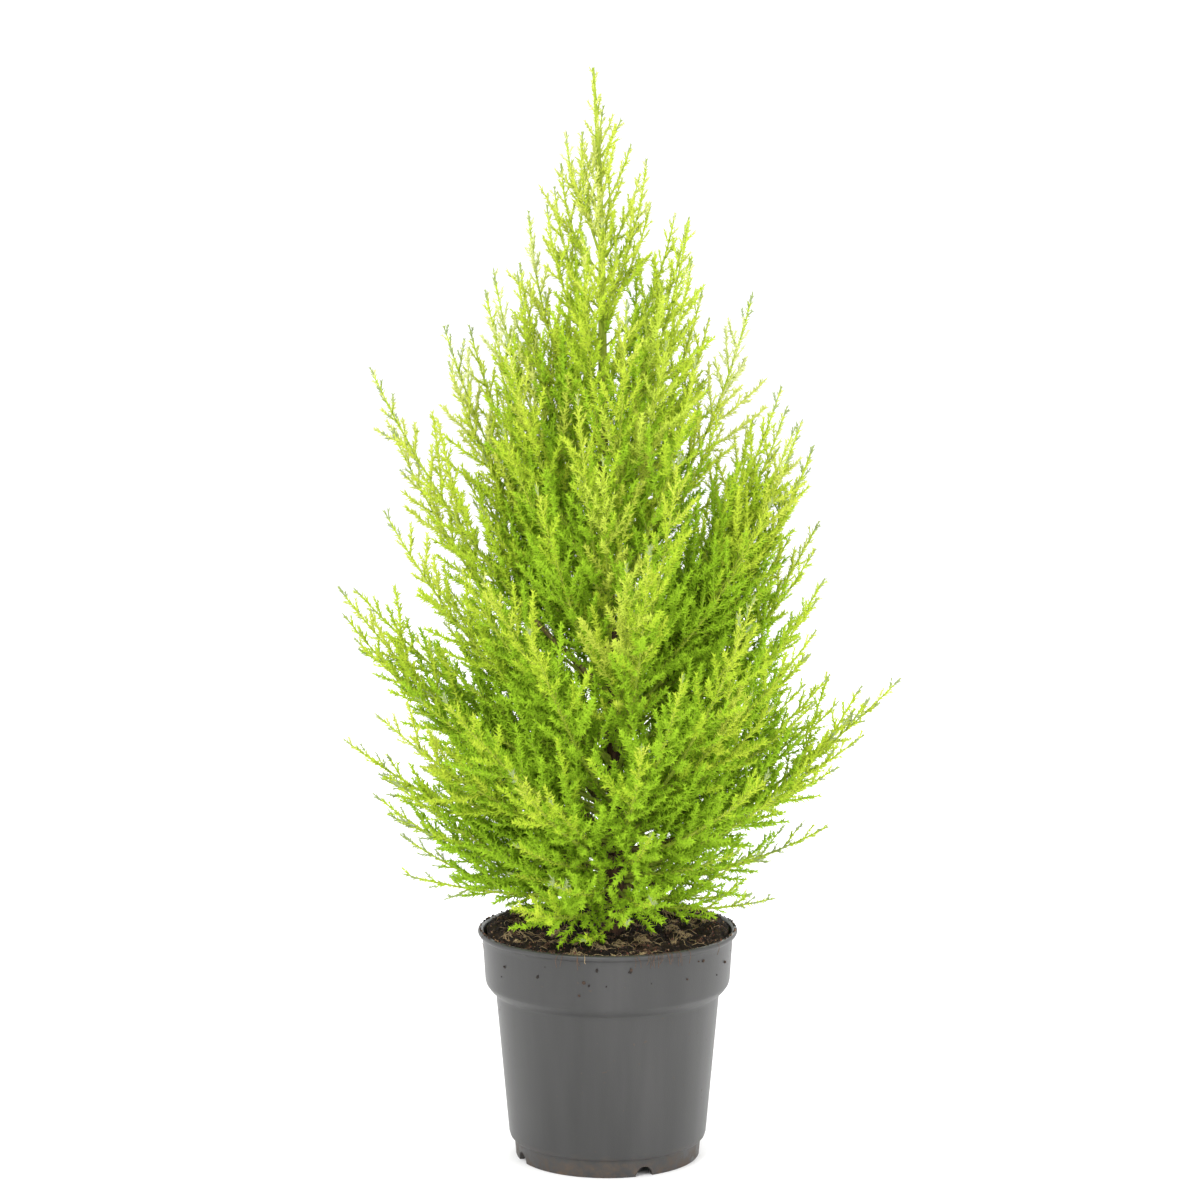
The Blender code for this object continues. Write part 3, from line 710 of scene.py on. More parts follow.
plant = {
    "soil": 0.1100,
    "top": 0.5400,
    "trunkRadius": 0.0048,
    "trunkTip": 0.0006,
    "footX": 0.0030,
    "lean": 0.0107,
    "sway": 0.0014,
    "swayTurns": 9.0,
    "flare": 0.0034,
    "flareHeight": 0.010,
    "clear": 0.0003,
    "crownFoot": 0.130,
    "crownFootRadius": 0.080,
    "crownRadius": 0.138,
    "crownTip": 0.004,
    "widest": 0.30,
    "lowestRoot": 0.012,
    "rootStep": 0.0030,
    "rootSteps": 5,
    "limbRoom": 0.0022,
    "stemTip": 0.00045,
    "twigFlat": 0.55,
    "boughShare": 0.24,
    "mainReach": 0.1085,
    "sweep": math.radians(11.0),
    "slopes": (-4.0, 84.0),  # a shoot's slope at the foot, and how much steeper it is at the top
    "shootRadius": (0.0008, 0.0085),  # at the root, and more for each metre of reach
    "backShoots": 9,
    "backFrom": 34.0,
    "backLowest": 0.150,
    "backHighest": 0.440,
    "leaderShoots": 3,
    "leaderFrom": 100.0,
    "leaderSlope": math.radians(74.0),
    "leaderReach": 0.012,
    "leaderSpread": 0.004,
    "leaderDrop": 0.018,
    "leaderSpacing": 0.013,
    "longShoots": (  # bearing, reach from the trunk, height of the tip
        (350, 0.040, 0.468), (8, 0.072, 0.431), (346, 0.097, 0.371), (12, 0.108, 0.317),
        (333, 0.112, 0.272), (3, 0.146, 0.240), (342, 0.118, 0.203), (14, 0.115, 0.161),
        (331, 0.093, 0.140), (172, 0.039, 0.471), (187, 0.056, 0.443), (174, 0.081, 0.415),
        (191, 0.117, 0.396), (169, 0.109, 0.362), (199, 0.114, 0.328), (181, 0.133, 0.287),
        (206, 0.124, 0.232), (176, 0.132, 0.209), (195, 0.104, 0.148), (268, 0.072, 0.357),
        (275, 0.098, 0.309), (241, 0.097, 0.145), (258, 0.060, 0.122), (309, 0.108, 0.247),
        (301, 0.054, 0.410), (236, 0.106, 0.303), (248, 0.122, 0.214),
    ),
}


def upTrunk(height):
    return (height - plant["soil"]) / (plant["top"] - plant["soil"])


def upCrown(height):
    return max(0.0, (height - plant["crownFoot"]) / (plant["top"] - plant["crownFoot"]))


def trunkPoint(height):
    share = max(0.0, upTrunk(height))
    sway = plant["sway"] * math.sin(share * plant["swayTurns"]) * min(1.0, share / 0.05)
    return Vector((plant["footX"] - plant["lean"] * share**1.8 + sway, 0.8 * sway, height))


def trunkRadius(height):
    share = min(1.0, max(0.0, upTrunk(height)))
    taper = plant["trunkTip"] + (plant["trunkRadius"] - plant["trunkTip"]) * (1.0 - share) ** 0.9
    return taper + plant["flare"] * math.exp(-(height - plant["soil"]) / plant["flareHeight"])


def crownRadius(height):
    share = upCrown(height)
    if share < plant["widest"]:
        swell = math.sin(0.5 * math.pi * share / plant["widest"])
        return plant["crownFootRadius"] + (plant["crownRadius"] - plant["crownFootRadius"]) * swell
    narrowing = min(1.0, (share - plant["widest"]) / (1.0 - plant["widest"])) ** 1.25
    return plant["crownTip"] + plant["crownRadius"] * (1.0 - narrowing)


def shootSlope(reach, tip):
    least, more = plant["slopes"]
    rise = math.radians(least + more * upCrown(tip) ** 0.62)
    return rise * min(1.0, crownRadius(tip) / reach) ** 0.35


class Limb:
    # A stem, twig or sprig along a bent line from its root to its tip.
    def __init__(self, start, middle, end, root, tip):
        self.start, self.middle, self.end = start, middle, end
        self.root, self.tip = root, tip
        self.length = sum((self.at((i + 1) / 8) - self.at(i / 8)).length for i in range(8))

    def at(self, share):
        back = 1.0 - share
        return self.start * back**2 + self.middle * 2.0 * back * share + self.end * share**2

    def heading(self, share):
        return ((self.middle - self.start) * (1.0 - share) + (self.end - self.middle) * share).normalized()

    def radius(self, share):
        return self.root * (1.0 - share) + self.tip * share

    def knots(self, first, last, count):
        shares = [first + (last - first) * i / (count - 1) for i in range(count)]
        return [(self.at(share), self.radius(share)) for share in shares]


def shootLimb(bearing, reach, tip, slope, shift):
    least, more = plant["shootRadius"]
    rootRadius = least + more * reach
    height = max(plant["soil"] + plant["lowestRoot"], tip - reach * math.tan(slope) + shift)
    away = around(bearing)
    leave = slope - plant["sweep"]
    flat = 1.0 if reach > plant["mainReach"] else plant["twigFlat"]
    gap = trunkRadius(height) + plant["clear"] + flat * rootRadius * abs(math.sin(leave))
    start = trunkPoint(height) + away * gap
    end = Vector((away.x * reach, away.y * reach, tip))
    middle = start + (away * math.cos(leave) + up * math.sin(leave)) * 0.5 * (end - start).length
    limb = Limb(start, middle, end, rootRadius, plant["stemTip"])
    limb.reach = reach
    return limb


def limbsApart(limb, other, clear):
    for i in range(21):
        point, radius = limb.at(i / 20), limb.radius(i / 20)
        for j in range(21):
            room = radius + other.radius(j / 20) + clear
            if (point - other.at(j / 20)).length < room:
                return False
    return True


def rootedLimb(bearing, reach, tip, slope, others, room, steps):
    # Moves a shoot's root up and down the trunk till it stands clear of the others; says if it does.
    for step in range(steps):
        shift = plant["rootStep"] * ((step + 1) // 2) * (-1.0 if step % 2 else 1.0)
        limb = shootLimb(bearing, reach, tip, slope, shift)
        if all(limbsApart(limb, other, room) for other in others):
            return limb, True
    return limb, False


def mainShoots():
    rows = []
    for bearing, reach, tip in plant["longShoots"]:
        side = ("right", "back", "left", "front")[int(((bearing + 45.0) % 360.0) // 90.0)]
        rows.append((side, bearing, reach, tip, shootSlope(reach, tip)))
    for index in range(plant["backShoots"]):
        rise = plant["backHighest"] - plant["backLowest"]
        tip = plant["backLowest"] + rise * index / (plant["backShoots"] - 1)
        bearing = plant["backFrom"] + (180.0 - 2.0 * plant["backFrom"]) * ((index * 0.618 + 0.35) % 1.0)
        rows.append(("back", bearing, crownRadius(tip), tip, shootSlope(crownRadius(tip), tip)))
    for index in range(plant["leaderShoots"]):
        tip = plant["top"] - plant["leaderDrop"] - plant["leaderSpacing"] * index
        reach = plant["leaderReach"] + plant["leaderSpread"] * index
        bearing = plant["leaderFrom"] + 360.0 * index / plant["leaderShoots"]
        rows.append(("leader", bearing, reach, tip, plant["leaderSlope"]))
    counts, shoots = {}, []
    for side, bearing, reach, tip, slope in rows:
        counts[side] = counts.get(side, 0) + 1
        steps = 2 * plant["rootSteps"] + 1
        limb, _ = rootedLimb(math.radians(bearing), reach, tip, slope, shoots, plant["limbRoom"], steps)
        limb.node = f"{side}_{counts[side]:02d}"
        shoots.append(limb)
    return shoots


bark = {
    "step": 0.0022,  # between the trunk's rings
    "sides": 14,
    "furrows": (700.0, 700.0, 95.0),
    "relief": 0.075,  # share of the limb's radius
    "collar": 0.40,  # how much a limb swells where it leaves the trunk
    "collarLength": 0.003,
    "strips": (620.0, 6.0, 0.65),
    "stripStretch": (1.0, 1.0, 0.16),
    "bumpDepth": 0.0006,
    "stops": (0.32, 0.50, 0.68),
    "trunkColours": ((0.020, 0.011, 0.007), (0.060, 0.030, 0.017), (0.125, 0.066, 0.036)),
    "boughColours": ((0.070, 0.048, 0.018), (0.150, 0.115, 0.040), (0.250, 0.205, 0.080)),
    "stemColours": ((0.190, 0.280, 0.020), (0.310, 0.400, 0.036), (0.430, 0.480, 0.080)),
    "boughSlim": 0.80,  # the bark's radius as a share of the solids'
    "stemSlim": 0.62,
    "greenFrom": (0.300, 0.420),  # the trunk turns from bark to green stem between these heights
    "underSoil": 0.0022,
    "boughFurrow": 0.00011,
    "stemFurrow": 0.00004,
}


def furrow(point):
    spot = Vector([part * scale for part, scale in zip(point, bark["furrows"])])
    return noise.noise(spot) + 0.5 * noise.noise(spot * 2.3)


def barkFinish(name, colours, relief, tipColours=None):
    finish, tree, _ = newFinish(name, 0.8, 0.25)
    strips = noiseNode(tree, objectSpace(tree, bark["stripStretch"]), *bark["strips"])
    colour = rampNode(tree, strips, bark["stops"], colours)
    if tipColours:
        green = rampNode(tree, strips, bark["stops"], tipColours)
        colour = mixColours(tree, rangeNode(tree, heightNode(tree), *bark["greenFrom"]), colour, green)
    return colourAndBump(finish, colour, strips, relief, bark["bumpDepth"])


def trunkRelief(point):
    height = min(plant["top"], max(plant["soil"], point.z))
    return bark["relief"] * trunkRadius(height) * furrow(point)


def slimmed(knots, share):
    return [(point, radius * share) for point, radius in knots]


def collared(limb, first, last, count):
    # The limb's knots, sunk into what it grows from and swollen there.
    knots = limb.knots(first, last, count)
    if first == 0.0:
        heading = limb.heading(0.0)
        root = limb.start - heading * (trunkRadius(limb.start.z) * 0.7)
        knots = [(root, limb.root)] + knots
    swollen = []
    for point, radius in knots:
        away = (point - limb.start).length
        swell = 1.0 + bark["collar"] * math.exp(-away / bark["collarLength"])
        swollen.append((point, radius * (swell if first == 0.0 else 1.0)))
    return swollen


def makeWood(shoots, innerShoots):
    first = plant["soil"] - bark["underSoil"]
    count = int((plant["top"] - first) / bark["step"])
    heights = [first + (plant["top"] - first) * i / count for i in range(count + 1)]
    knots = [(trunkPoint(height), trunkRadius(height)) for height in heights]
    trunk = tubes("trunkBark", [knots], bark["sides"], trunkRelief)
    finish = barkFinish("trunkBarkFinish", bark["trunkColours"], 0.8, bark["stemColours"])
    place(trunk, finish, "trunk_bark", ["trunk"])

    share = plant["boughShare"]
    mains = [limb for limb in shoots if limb.reach > plant["mainReach"]]
    boughs = [slimmed(collared(limb, 0.0, share + 0.01, 14), bark["boughSlim"]) for limb in mains]
    boughs = tubes("boughBark", boughs, 8, lambda point: bark["boughFurrow"] * furrow(point))
    nodes = [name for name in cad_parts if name.startswith("bough_")]
    place(boughs, barkFinish("boughBarkFinish", bark["boughColours"], 0.6), "bough_bark", nodes)

    stems = [limb.knots(share, 1.0, 16) for limb in mains]
    stems += [collared(limb, 0.0, 1.0, 16) for limb in shoots + innerShoots if limb not in mains]
    stems = [slimmed(knots, bark["stemSlim"]) for knots in stems]
    stems = tubes("greenStems", stems, 6, lambda point: bark["stemFurrow"] * furrow(point))
    nodes = ["spray_" + limb.node for limb in shoots]
    place(stems, barkFinish("greenStemFinish", bark["stemColours"], 0.4), "needles_green", nodes)


# Twigs, sprigs and needles

crown = {
    "seed": 41,
    "innerShoots": 84,
    "innerRoom": -0.0008,
    "innerSteps": 9,
    "steepest": math.radians(68.0),
    "frameRoom": 0.004,  # from the tips of these shoots to the solids' box
    "innerReach": (0.56, 1.0),
    "sideHold": 0.24,  # how much shorter they are at the sides, where flankShoots stand
    "innerLowest": 0.132,
    "innerHighest": 0.462,
    "flankShoots": (  # bearing, reach and tip height of more shoots at the sides, the top and the front
        (178, 0.110, 0.172), (188, 0.092, 0.166), (171, 0.116, 0.188), (176, 0.137, 0.272),
        (183, 0.125, 0.262), (182, 0.098, 0.243), (184, 0.105, 0.178), (172, 0.128, 0.284),
        (180, 0.078, 0.398), (168, 0.070, 0.415), (356, 0.085, 0.386), (355, 0.094, 0.340),
        (352, 0.104, 0.283), (8, 0.101, 0.251), (357, 0.127, 0.214), (5, 0.078, 0.152),
        (352, 0.103, 0.231), (10, 0.110, 0.222), (188, 0.088, 0.258), (176, 0.111, 0.227),
        (2, 0.115, 0.229), (4, 0.108, 0.290), (1, 0.091, 0.354), (358, 0.092, 0.366),
        (179, 0.117, 0.183), (178, 0.020, 0.509), (160, 0.013, 0.509), (20, 0.007, 0.515),
        (340, 0.012, 0.503), (172, 0.023, 0.494), (8, 0.016, 0.489), (184, 0.026, 0.483),
        (352, 0.021, 0.475), (190, 0.030, 0.474), (4, 0.033, 0.470), (356, 0.038, 0.463),
        (186, 0.060, 0.433), (10, 0.047, 0.432), (262, 0.020, 0.468), (283, 0.018, 0.452),
        (176, 0.104, 0.161), (181, 0.114, 0.201), (187, 0.107, 0.192), (180, 0.108, 0.178),
        (179, 0.120, 0.214), (1, 0.098, 0.238), (7, 0.112, 0.241), (183, 0.117, 0.206),
        (3, 0.098, 0.346), (357, 0.101, 0.357), (359, 0.088, 0.376), (176, 0.072, 0.345),
        (182, 0.078, 0.286), (174, 0.082, 0.268), (178, 0.076, 0.319), (181, 0.066, 0.330),
        (175, 0.098, 0.203), (186, 0.090, 0.236), (3, 0.103, 0.305), (359, 0.120, 0.222),
        (184, 0.100, 0.211), (176, 0.094, 0.196), (183, 0.043, 0.446), (174, 0.031, 0.432),
        (182, 0.061, 0.352), (176, 0.066, 0.340),
    ),
    "innerCrowding": 1.5,  # over 1 sets more of them low down
    "leaderFrom": 0.430,  # the trunk above this height is a leafy shoot
    "trunkTwigs": {  # short twigs on the trunk between the shoots
        "lowest": 0.145, "spacing": 0.0042, "lean": (42.0, 60.0), "length": (0.018, 0.036), "bend": 0.4,
    },
    "soilRoom": 0.0058,
    "rimRoom": 0.002,
    "sprigRoom": 0.0015,
    "overPot": 0.068,  # nearer the trunk than this, twigs keep clear of the soil, and further out of the rim
    "reachRoom": 0.0045,  # how far a twig may stand out of the solids' box
    "twigs": {
        "first": 0.0044, "spacing": 0.0036, "widen": 0.022, "lean": (28.0, 44.0), "base": 0.0044,
        "grow": 0.84, "late": 0.018, "longest": 0.060, "longEvery": 3, "shortShare": 0.50, "bend": 0.34,
    },
    "sprigs": {
        "first": 0.0044, "spacing": 0.0032, "widen": 0.030, "lean": (30.0, 46.0), "base": 0.0026,
        "grow": 0.36, "late": 0.006, "longest": 0.0150, "longEvery": 2, "shortShare": 0.60, "bend": 0.30,
    },
    "stubs": {
        "first": 0.0044, "spacing": 0.0040, "widen": 0.05, "lean": (32.0, 48.0), "base": 0.0020,
        "grow": 0.22, "late": 0.0, "longest": 0.0044, "longEvery": 1, "shortShare": 1.0, "bend": 0.15,
    },
    "leastTwig": 0.0095,  # a shorter twig bears no sprigs
    "leastSprig": 0.0100,
    "plume": 1.5,  # how much longer the twigs of the bright shoots are
    "boughBare": 0.10,  # share of a shoot without twigs, with and without a bough
    "stemBare": 0.07,
    "twigRadius": (0.00052, 0.00022),
}


def bentLimb(start, direction, parentHeading, length, bend):
    finish = (direction + parentHeading * bend + up * 0.5 * bend).normalized()
    middle = start + direction * 0.5 * length
    return Limb(start, middle, middle + finish * 0.5 * length, *crown["twigRadius"])


def fitsCrown(limb, room):
    overSoil = limb.end.xy.length < crown["overPot"]
    low = plant["soil"] + crown["soilRoom"] if overSoil else pot["height"] + crown["rimRoom"]
    lowest, highest = cadBounds
    inside = all(
        lowest[axis] - crown["reachRoom"] < limb.end[axis] < highest[axis] + crown["reachRoom"] * (axis < 2)
        for axis in range(3)
    )
    return inside and limb.end.z > low and limb.end.xy.length < crownRadius(limb.end.z) + room


def sideLimbs(limb, rule, leafy, rng, fits=None, lush=1.0):
    # The side shoots of a limb, from its tip back over the leafy part of it.
    found = []
    fromTip = rule["first"] * rng.uniform(0.7, 1.2)
    roll = rng.uniform(0.0, math.tau)
    count = rng.randrange(3)
    while fromTip < leafy:
        share = 1.0 - fromTip / limb.length
        heading = limb.heading(share)
        side = heading.cross(up if abs(heading.z) < 0.98 else Vector((1.0, 0.0, 0.0))).normalized()
        over = side.cross(heading)
        out = side * math.cos(roll) + over * math.sin(roll)
        lean = math.radians(rng.uniform(*rule["lean"]))
        direction = heading * math.cos(lean) + out * math.sin(lean)
        grown = lush * rule["grow"] * fromTip * fromTip / (fromTip + rule["late"])
        if count % rule["longEvery"]:
            grown *= rule["shortShare"]
        length = min(rule["longest"], rule["base"] + grown) * (0.84 + 0.32 * out.z) * rng.uniform(0.78, 1.12)
        start = limb.at(share)
        for grow in (1.0, 0.75, 0.5):
            branch = bentLimb(start, direction, heading, length * grow, rule["bend"])
            if fits is None or fits(branch):
                found.append((fromTip, branch))
                break
        count += 1
        roll += goldenTurn + rng.uniform(-0.3, 0.3)
        fromTip += (rule["spacing"] + rule["widen"] * fromTip) * rng.uniform(0.85, 1.15)
    return found


def makeInnerShoots(shoots):
    rng = random.Random(crown["seed"])
    rows = [(math.radians(bearing), reach, tip) for bearing, reach, tip in crown["flankShoots"]]
    for index in range(crown["innerShoots"]):
        share = ((index + 0.5) / crown["innerShoots"]) ** crown["innerCrowding"]
        tip = crown["innerLowest"] + (crown["innerHighest"] - crown["innerLowest"]) * share
        least, most = crown["innerReach"]
        bearing = index * goldenTurn + rng.uniform(-0.2, 0.2)
        hold = crown["sideHold"] * max(0.0, abs(math.cos(bearing)) - 0.6) / 0.4
        reach = crownRadius(tip) * (least + (most - least) * rng.random() ** 0.6) * (1.0 - hold)
        rows.append((bearing, reach, tip))
    found = []
    for bearing, reach, tip in rows:  # none reaches past the solids' box
        toSide = cadBounds[math.cos(bearing) > 0.0][0] / math.cos(bearing)
        toFront = cadBounds[math.sin(bearing) > 0.0][1] / math.sin(bearing)
        reach = min(reach, toSide - crown["frameRoom"], toFront - crown["frameRoom"])
        slope = min(crown["steepest"], shootSlope(max(reach, crownRadius(tip)), tip))
        others = shoots + found
        limb, free = rootedLimb(bearing, reach, tip, slope, others, crown["innerRoom"], crown["innerSteps"])
        if free:
            near = min(shoots, key=lambda other: (other.at(0.6) - limb.at(0.6)).length)
            limb.node = near.node
            found.append(limb)
    return found


needles = {
    "pitch": 0.0048,  # length of twig that one copied run of needles covers
    "pairs": 3,
    "length": 0.0030,
    "radius": 0.00043,
    "lean": (30.0, 50.0),
    "coreRadius": 0.00050,
    "runs": 3,
    "tints": {  # colour and the record's slot, deep inside to bright, then the olive tips and the plumes
        "deepNeedles": ((0.335, 0.550, 0.024), "needles_deep"),
        "shadyNeedles": ((0.440, 0.615, 0.034), "needles_deep"),
        "greenNeedles": ((0.510, 0.650, 0.046), "needles_green"),
        "brightNeedles": ((0.560, 0.662, 0.074), "needles_green"),
        "limeNeedles": ((0.608, 0.678, 0.150), "needles_lime"),
        "paleNeedles": ((0.668, 0.730, 0.275), "needles_lime"),
        "oliveTips": ((0.335, 0.415, 0.175), "needles_green"),
        "plumeNeedles": ((0.560, 0.705, 0.072), "needles_lime"),
    },
    "tintSteps": (0.32, 0.44, 0.56, 0.70, 0.80),
    "byOutside": 0.40,  # how much brighter a twig is out at the edge, up the plant and near its shoot's tip; the deeper tint inside the crown is partly painted shade
    "byHeight": 0.60,
    "byTip": 0.26,
    "tipFade": 0.05,
    "twigMix": 0.06,
    "sprigMix": 0.04,
    "edge": 0.86,  # share of the way out from which tips may be olive
    "paleEdge": 0.60,  # shares of the way out and up from which needles may be pale
    "paleFrom": 0.64,
    "slimAtTip": 1.02,
    "fullness": 0.40,  # how much wider the needles stand on twigs further back
    "fullFrom": 0.06,
    "topSlim": 0.24,  # how much thinner the needled twigs get towards the top
    "soilPaintedShade": 0.58,  # how much deeper the tint is at the soil: painted shade under the lower crown
    "soilFade": 0.026,
    "lowest": 0.13,  # below this share of the height the outer twigs are thin and partly olive
    "lowSlim": 0.26,
    "oliveTwigs": 0.60,  # share of the outer tips that are olive
    "oliveSprigs": 0.20,
    "youngFrom": 0.12,  # shoots brighter than this have no olive tips
    "mood": (-0.08, 0.08),
    # the inner shoots' deeper tint is painted shade of the crown's hollows
    "innerPaintedShade": -0.15,
    # plumes tinted brighter: lime young growth, and partly a painted highlight on the front plumes
    "brightShoots": {
        "front_01": 0.24, "front_02": 0.30, "front_03": 0.16, "front_04": 0.26, "front_05": 0.14,
        "front_06": 0.22, "left_02": 0.10, "left_03": 0.10, "left_08": 0.08, "right_01": 0.16,
        "right_02": 0.08,
    },
}


def addCone(model, radius, length, stand):
    bmesh.ops.create_cone(
        model, cap_ends=False, segments=3, radius1=radius, radius2=0.0, depth=length, matrix=stand,
    )


def needleRun(index, atTip):
    # A short length of twig along +Z, from 0 to 1, with pairs of needles crossing each other.
    rng = random.Random(index + 10 * atTip)
    model = bmesh.new()
    pitch = needles["pitch"]
    addCone(model, needles["coreRadius"], pitch * 1.2, Matrix.Translation((0.0, 0.0, pitch * 0.6)))
    for pair in range(needles["pairs"]):
        share = (pair + 0.25) / needles["pairs"]
        shrink = 1.0 - 0.25 * share if atTip else 1.0
        for turn in (0.0, math.pi):
            length = needles["length"] * shrink * rng.uniform(0.8, 1.15)
            lean = math.radians(rng.uniform(*needles["lean"])) * (1.0 - 0.35 * share * atTip)
            spin = pair * math.pi / 2 + turn + rng.uniform(-0.35, 0.35)
            stand = Matrix.Translation((0.0, 0.0, pitch * share)) @ Matrix.Rotation(spin, 4, "Z")
            stand = stand @ Matrix.Rotation(lean, 4, "Y") @ Matrix.Translation((0.0, 0.0, length / 2))
            addCone(model, needles["radius"], length, stand)
    bmesh.ops.scale(model, vec=(1.0, 1.0, 1.0 / pitch), verts=model.verts)
    bmesh.ops.triangulate(model, faces=model.faces)
    model.verts.index_update()
    return model


class Leafage:
    # Gathers the runs of needles of each tint: root, tip, width, node and whether it ends its limb.
    def __init__(self):
        self.rows = {name: [] for name in needles["tints"]}
        self.twigs = []

    def cover(self, limb, first, width, tint, node, tipTint=None):
        covered = limb.length * (1.0 - first)
        count = max(1, round(covered / needles["pitch"]))
        for index in range(count):
            start = limb.at(first + (1.0 - first) * index / count)
            end = limb.at(first + (1.0 - first) * (index + 1) / count)
            ends = index == count - 1
            name = tipTint if ends and tipTint else tint
            slim = width * (0.95 if ends and count > 1 else 1.0)
            self.rows[name].append((*start, *end, slim, ends, node))


def tintOf(value, grown):
    names = list(needles["tints"])
    name = names[sum(value > step for step in needles["tintSteps"])]
    return "plumeNeedles" if name in ("limeNeedles", "paleNeedles") and not grown else name


def trunkTwigs(rng):
    rule = crown["trunkTwigs"]
    found = []
    height = rule["lowest"]
    roll = 0.0
    while height < crown["leaderFrom"]:
        away = around(roll)
        lean = math.radians(rng.uniform(*rule["lean"]))
        direction = up * math.cos(lean) + away * math.sin(lean)
        start = trunkPoint(height) + away * trunkRadius(height) * 0.7
        found.append((0.08, bentLimb(start, direction, up, rng.uniform(*rule["length"]), rule["bend"])))
        height += rule["spacing"] * rng.uniform(0.8, 1.2)
        roll += goldenTurn
    return found


def growCrown(shoots, innerShoots):
    leafage = Leafage()
    leader = Limb(
        trunkPoint(crown["leaderFrom"]), trunkPoint((crown["leaderFrom"] + plant["top"]) / 2),
        trunkPoint(plant["top"]), 0.0016, plant["stemTip"],
    )
    leader.reach, leader.node = 0.0, "leader_01"
    for number, shoot in enumerate([leader] + shoots + innerShoots):
        rng = random.Random(crown["seed"] + 100 + number)
        inner = number > len(shoots)
        # a bright shoot's lift in tint is lime young growth, partly painted highlight
        bright = 0.0 if inner else needles["brightShoots"].get(shoot.node, 0.0)
        bare = crown["boughBare"] if shoot.reach > plant["mainReach"] else crown["stemBare"]
        if shoot is leader:
            bare = 0.0
        leafy = shoot.length * (1.0 - bare)
        tipRoom = shoot.end.xy.length - crownRadius(shoot.end.z)

        def fits(branch):
            room = max(0.006, branch.start.xy.length - crownRadius(branch.start.z) + 0.25 * branch.length)
            return fitsCrown(branch, max(room, tipRoom))

        first = bare + 0.1 if shoot.reach else 0.0
        leafage.cover(shoot, first, 1.05, "greenNeedles", shoot.node, "oliveTips")
        # a random tone for the shoot, plus painted shade on inner shoots and, on the bright plumes, lime
        # growth partly painted as highlight
        mood = rng.uniform(*needles["mood"]) + (needles["innerPaintedShade"] if inner else bright)
        grown = bright < needles["youngFrom"]
        side = sideLimbs(shoot, crown["twigs"], leafy, rng, fits, 1.0 + crown["plume"] * bright)
        if shoot is leader:
            side += trunkTwigs(rng)
        for fromTip, twig in side:
            coverTwig(leafage, twig, fromTip, shoot.node, mood, grown, rng)
    return leafage


def coverTwig(leafage, twig, fromTip, node, mood, grown, rng):
    # Needles for one twig and its sprigs, brighter outside, higher up and near the shoot's tip, as young
    # growth is; deeper inside the crown and near the soil partly as painted shade.
    middle = twig.at(0.6)
    outside = middle.xy.length / max(0.02, crownRadius(middle.z))
    high = upTrunk(middle.z)
    # the darker tint further inside the crown is partly painted shade
    value = needles["byOutside"] * min(1.1, outside) + needles["byHeight"] * high**1.4
    value += needles["byTip"] * math.exp(-fromTip / needles["tipFade"])
    value += mood
    value += rng.uniform(-1.0, 1.0) * needles["twigMix"]
    # painted shade: twigs near the soil get a deeper tint, as if in shadow
    value -= needles["soilPaintedShade"] * math.exp(-(middle.z - plant["soil"]) / needles["soilFade"])
    if outside < needles["paleEdge"] or high < needles["paleFrom"]:
        value = min(value, needles["tintSteps"][-1])
    edge = outside > needles["edge"]
    low = edge and grown and high < needles["lowest"]
    tint = "oliveTips" if low and len(leafage.twigs) % 2 else tintOf(value, grown)

    def tipOf(share, plain):
        return "oliveTips" if edge and rng.random() < needles[share] * grown else plain

    tipTint = tipOf("oliveTwigs", tint)
    if twig.length < crown["leastTwig"]:
        leafage.cover(twig, 0.0, 1.0, tint, node, tipTint)
        return
    leafage.twigs.append(twig.knots(0.0, 0.9, 4))
    width = needles["slimAtTip"] + needles["fullness"] * min(1.0, fromTip / needles["fullFrom"])
    width *= (1.0 - needles["topSlim"] * high**3) * (1.0 - needles["lowSlim"] * low)
    leafage.cover(twig, 0.12, width, tint, node, tipTint)
    for _, sprig in sideLimbs(twig, crown["sprigs"], twig.length * 0.95, rng):
        if sprig.end.z < plant["soil"] + crown["sprigRoom"]:
            continue
        sprigTint = tintOf(value - rng.uniform(0.0, 2.0) * needles["sprigMix"], grown)
        if tint == "oliveTips":
            sprigTint = tint
        leafage.cover(sprig, 0.0, width, sprigTint, node, tipOf("oliveSprigs", sprigTint))
        if sprig.length > crown["leastSprig"]:
            for _, stub in sideLimbs(sprig, crown["stubs"], sprig.length * 0.8, rng):
                leafage.cover(stub, 0.0, width, sprigTint, node)


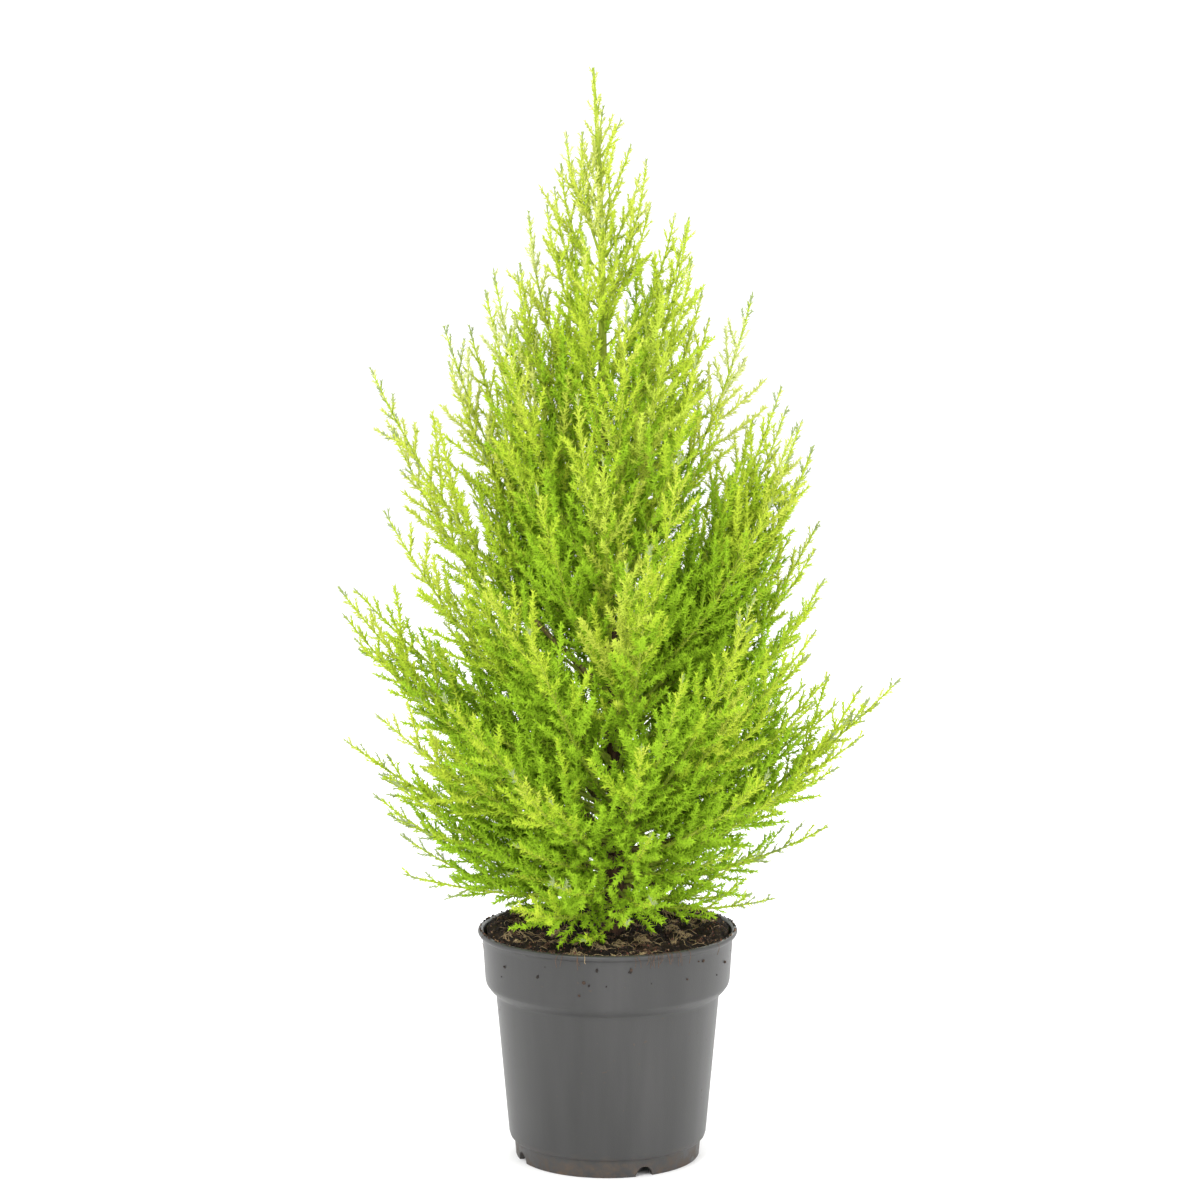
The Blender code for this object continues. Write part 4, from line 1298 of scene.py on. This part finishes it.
def makeFoliage(leafage):
    runs = {atTip: [needleRun(index, atTip) for index in range(needles["runs"])] for atTip in (0, 1)}
    total = 0
    for name, (colour, slot) in needles["tints"].items():
        finish = plainFinish(name + "Finish", colour, 0.6, 0.08)
        rows = leafage.rows[name]
        rng = np.random.default_rng(len(name))
        each = len(runs[0][0].faces)
        pieces = max(1, math.ceil(len(rows) * each / mostFaces))
        for part in range(pieces):
            chosen = rows[part::pieces]
            nodes = sorted({"spray_" + row[8] for row in chosen})
            data = np.array([row[:7] for row in chosen])
            ends = np.array([row[7] for row in chosen])
            kinds = rng.integers(0, needles["runs"], len(chosen))
            points, faces = [], []
            base = 0
            for atTip in (0, 1):
                for kind in range(needles["runs"]):
                    group = data[(ends == bool(atTip)) & (kinds == kind)]
                    shape = runs[atTip][kind]
                    copies, corners = copiedRuns(shape, group, rng)
                    points.append(copies)
                    faces.append(corners + base)
                    base += len(copies)
            piece = listedPiece(f"{name}{part + 1}", np.concatenate(points), np.concatenate(faces))
            piece.data.shade_smooth()
            place(piece, finish, slot, nodes)
            total += len(piece.data.polygons)
    twigs = tubes("greenTwigs", leafage.twigs, 4)
    nodes = sorted({"spray_" + row[8] for rows in leafage.rows.values() for row in rows})
    place(twigs, barkFinish("greenTwigFinish", bark["stemColours"], 0.3), "needles_green", nodes)
    print("all the needles", total, "faces")


def copiedRuns(shape, group, rng):
    # Lays a copy of the run of needles from each row's root to its tip, turned at random round itself.
    start, end, width = group[:, 0:3], group[:, 3:6], group[:, 6]
    along = end - start
    length = np.linalg.norm(along, axis=1)
    along = along / length[:, None]
    aside = np.cross(along, rng.normal(size=(len(group), 3)))
    aside /= np.linalg.norm(aside, axis=1)[:, None]
    across = np.cross(along, aside)
    frames = np.stack([aside * width[:, None], across * width[:, None], end - start], axis=2)
    return copiesOf(shape, start, frames)


setStudio()
makePot()
makePeat()
makeCrumbs()
makeFibres()
mainLimbs = mainShoots()
innerLimbs = makeInnerShoots(mainLimbs)
print("shoots", len(mainLimbs), len(innerLimbs))
makeWood(mainLimbs, innerLimbs)
makeFoliage(growCrown(mainLimbs, innerLimbs))
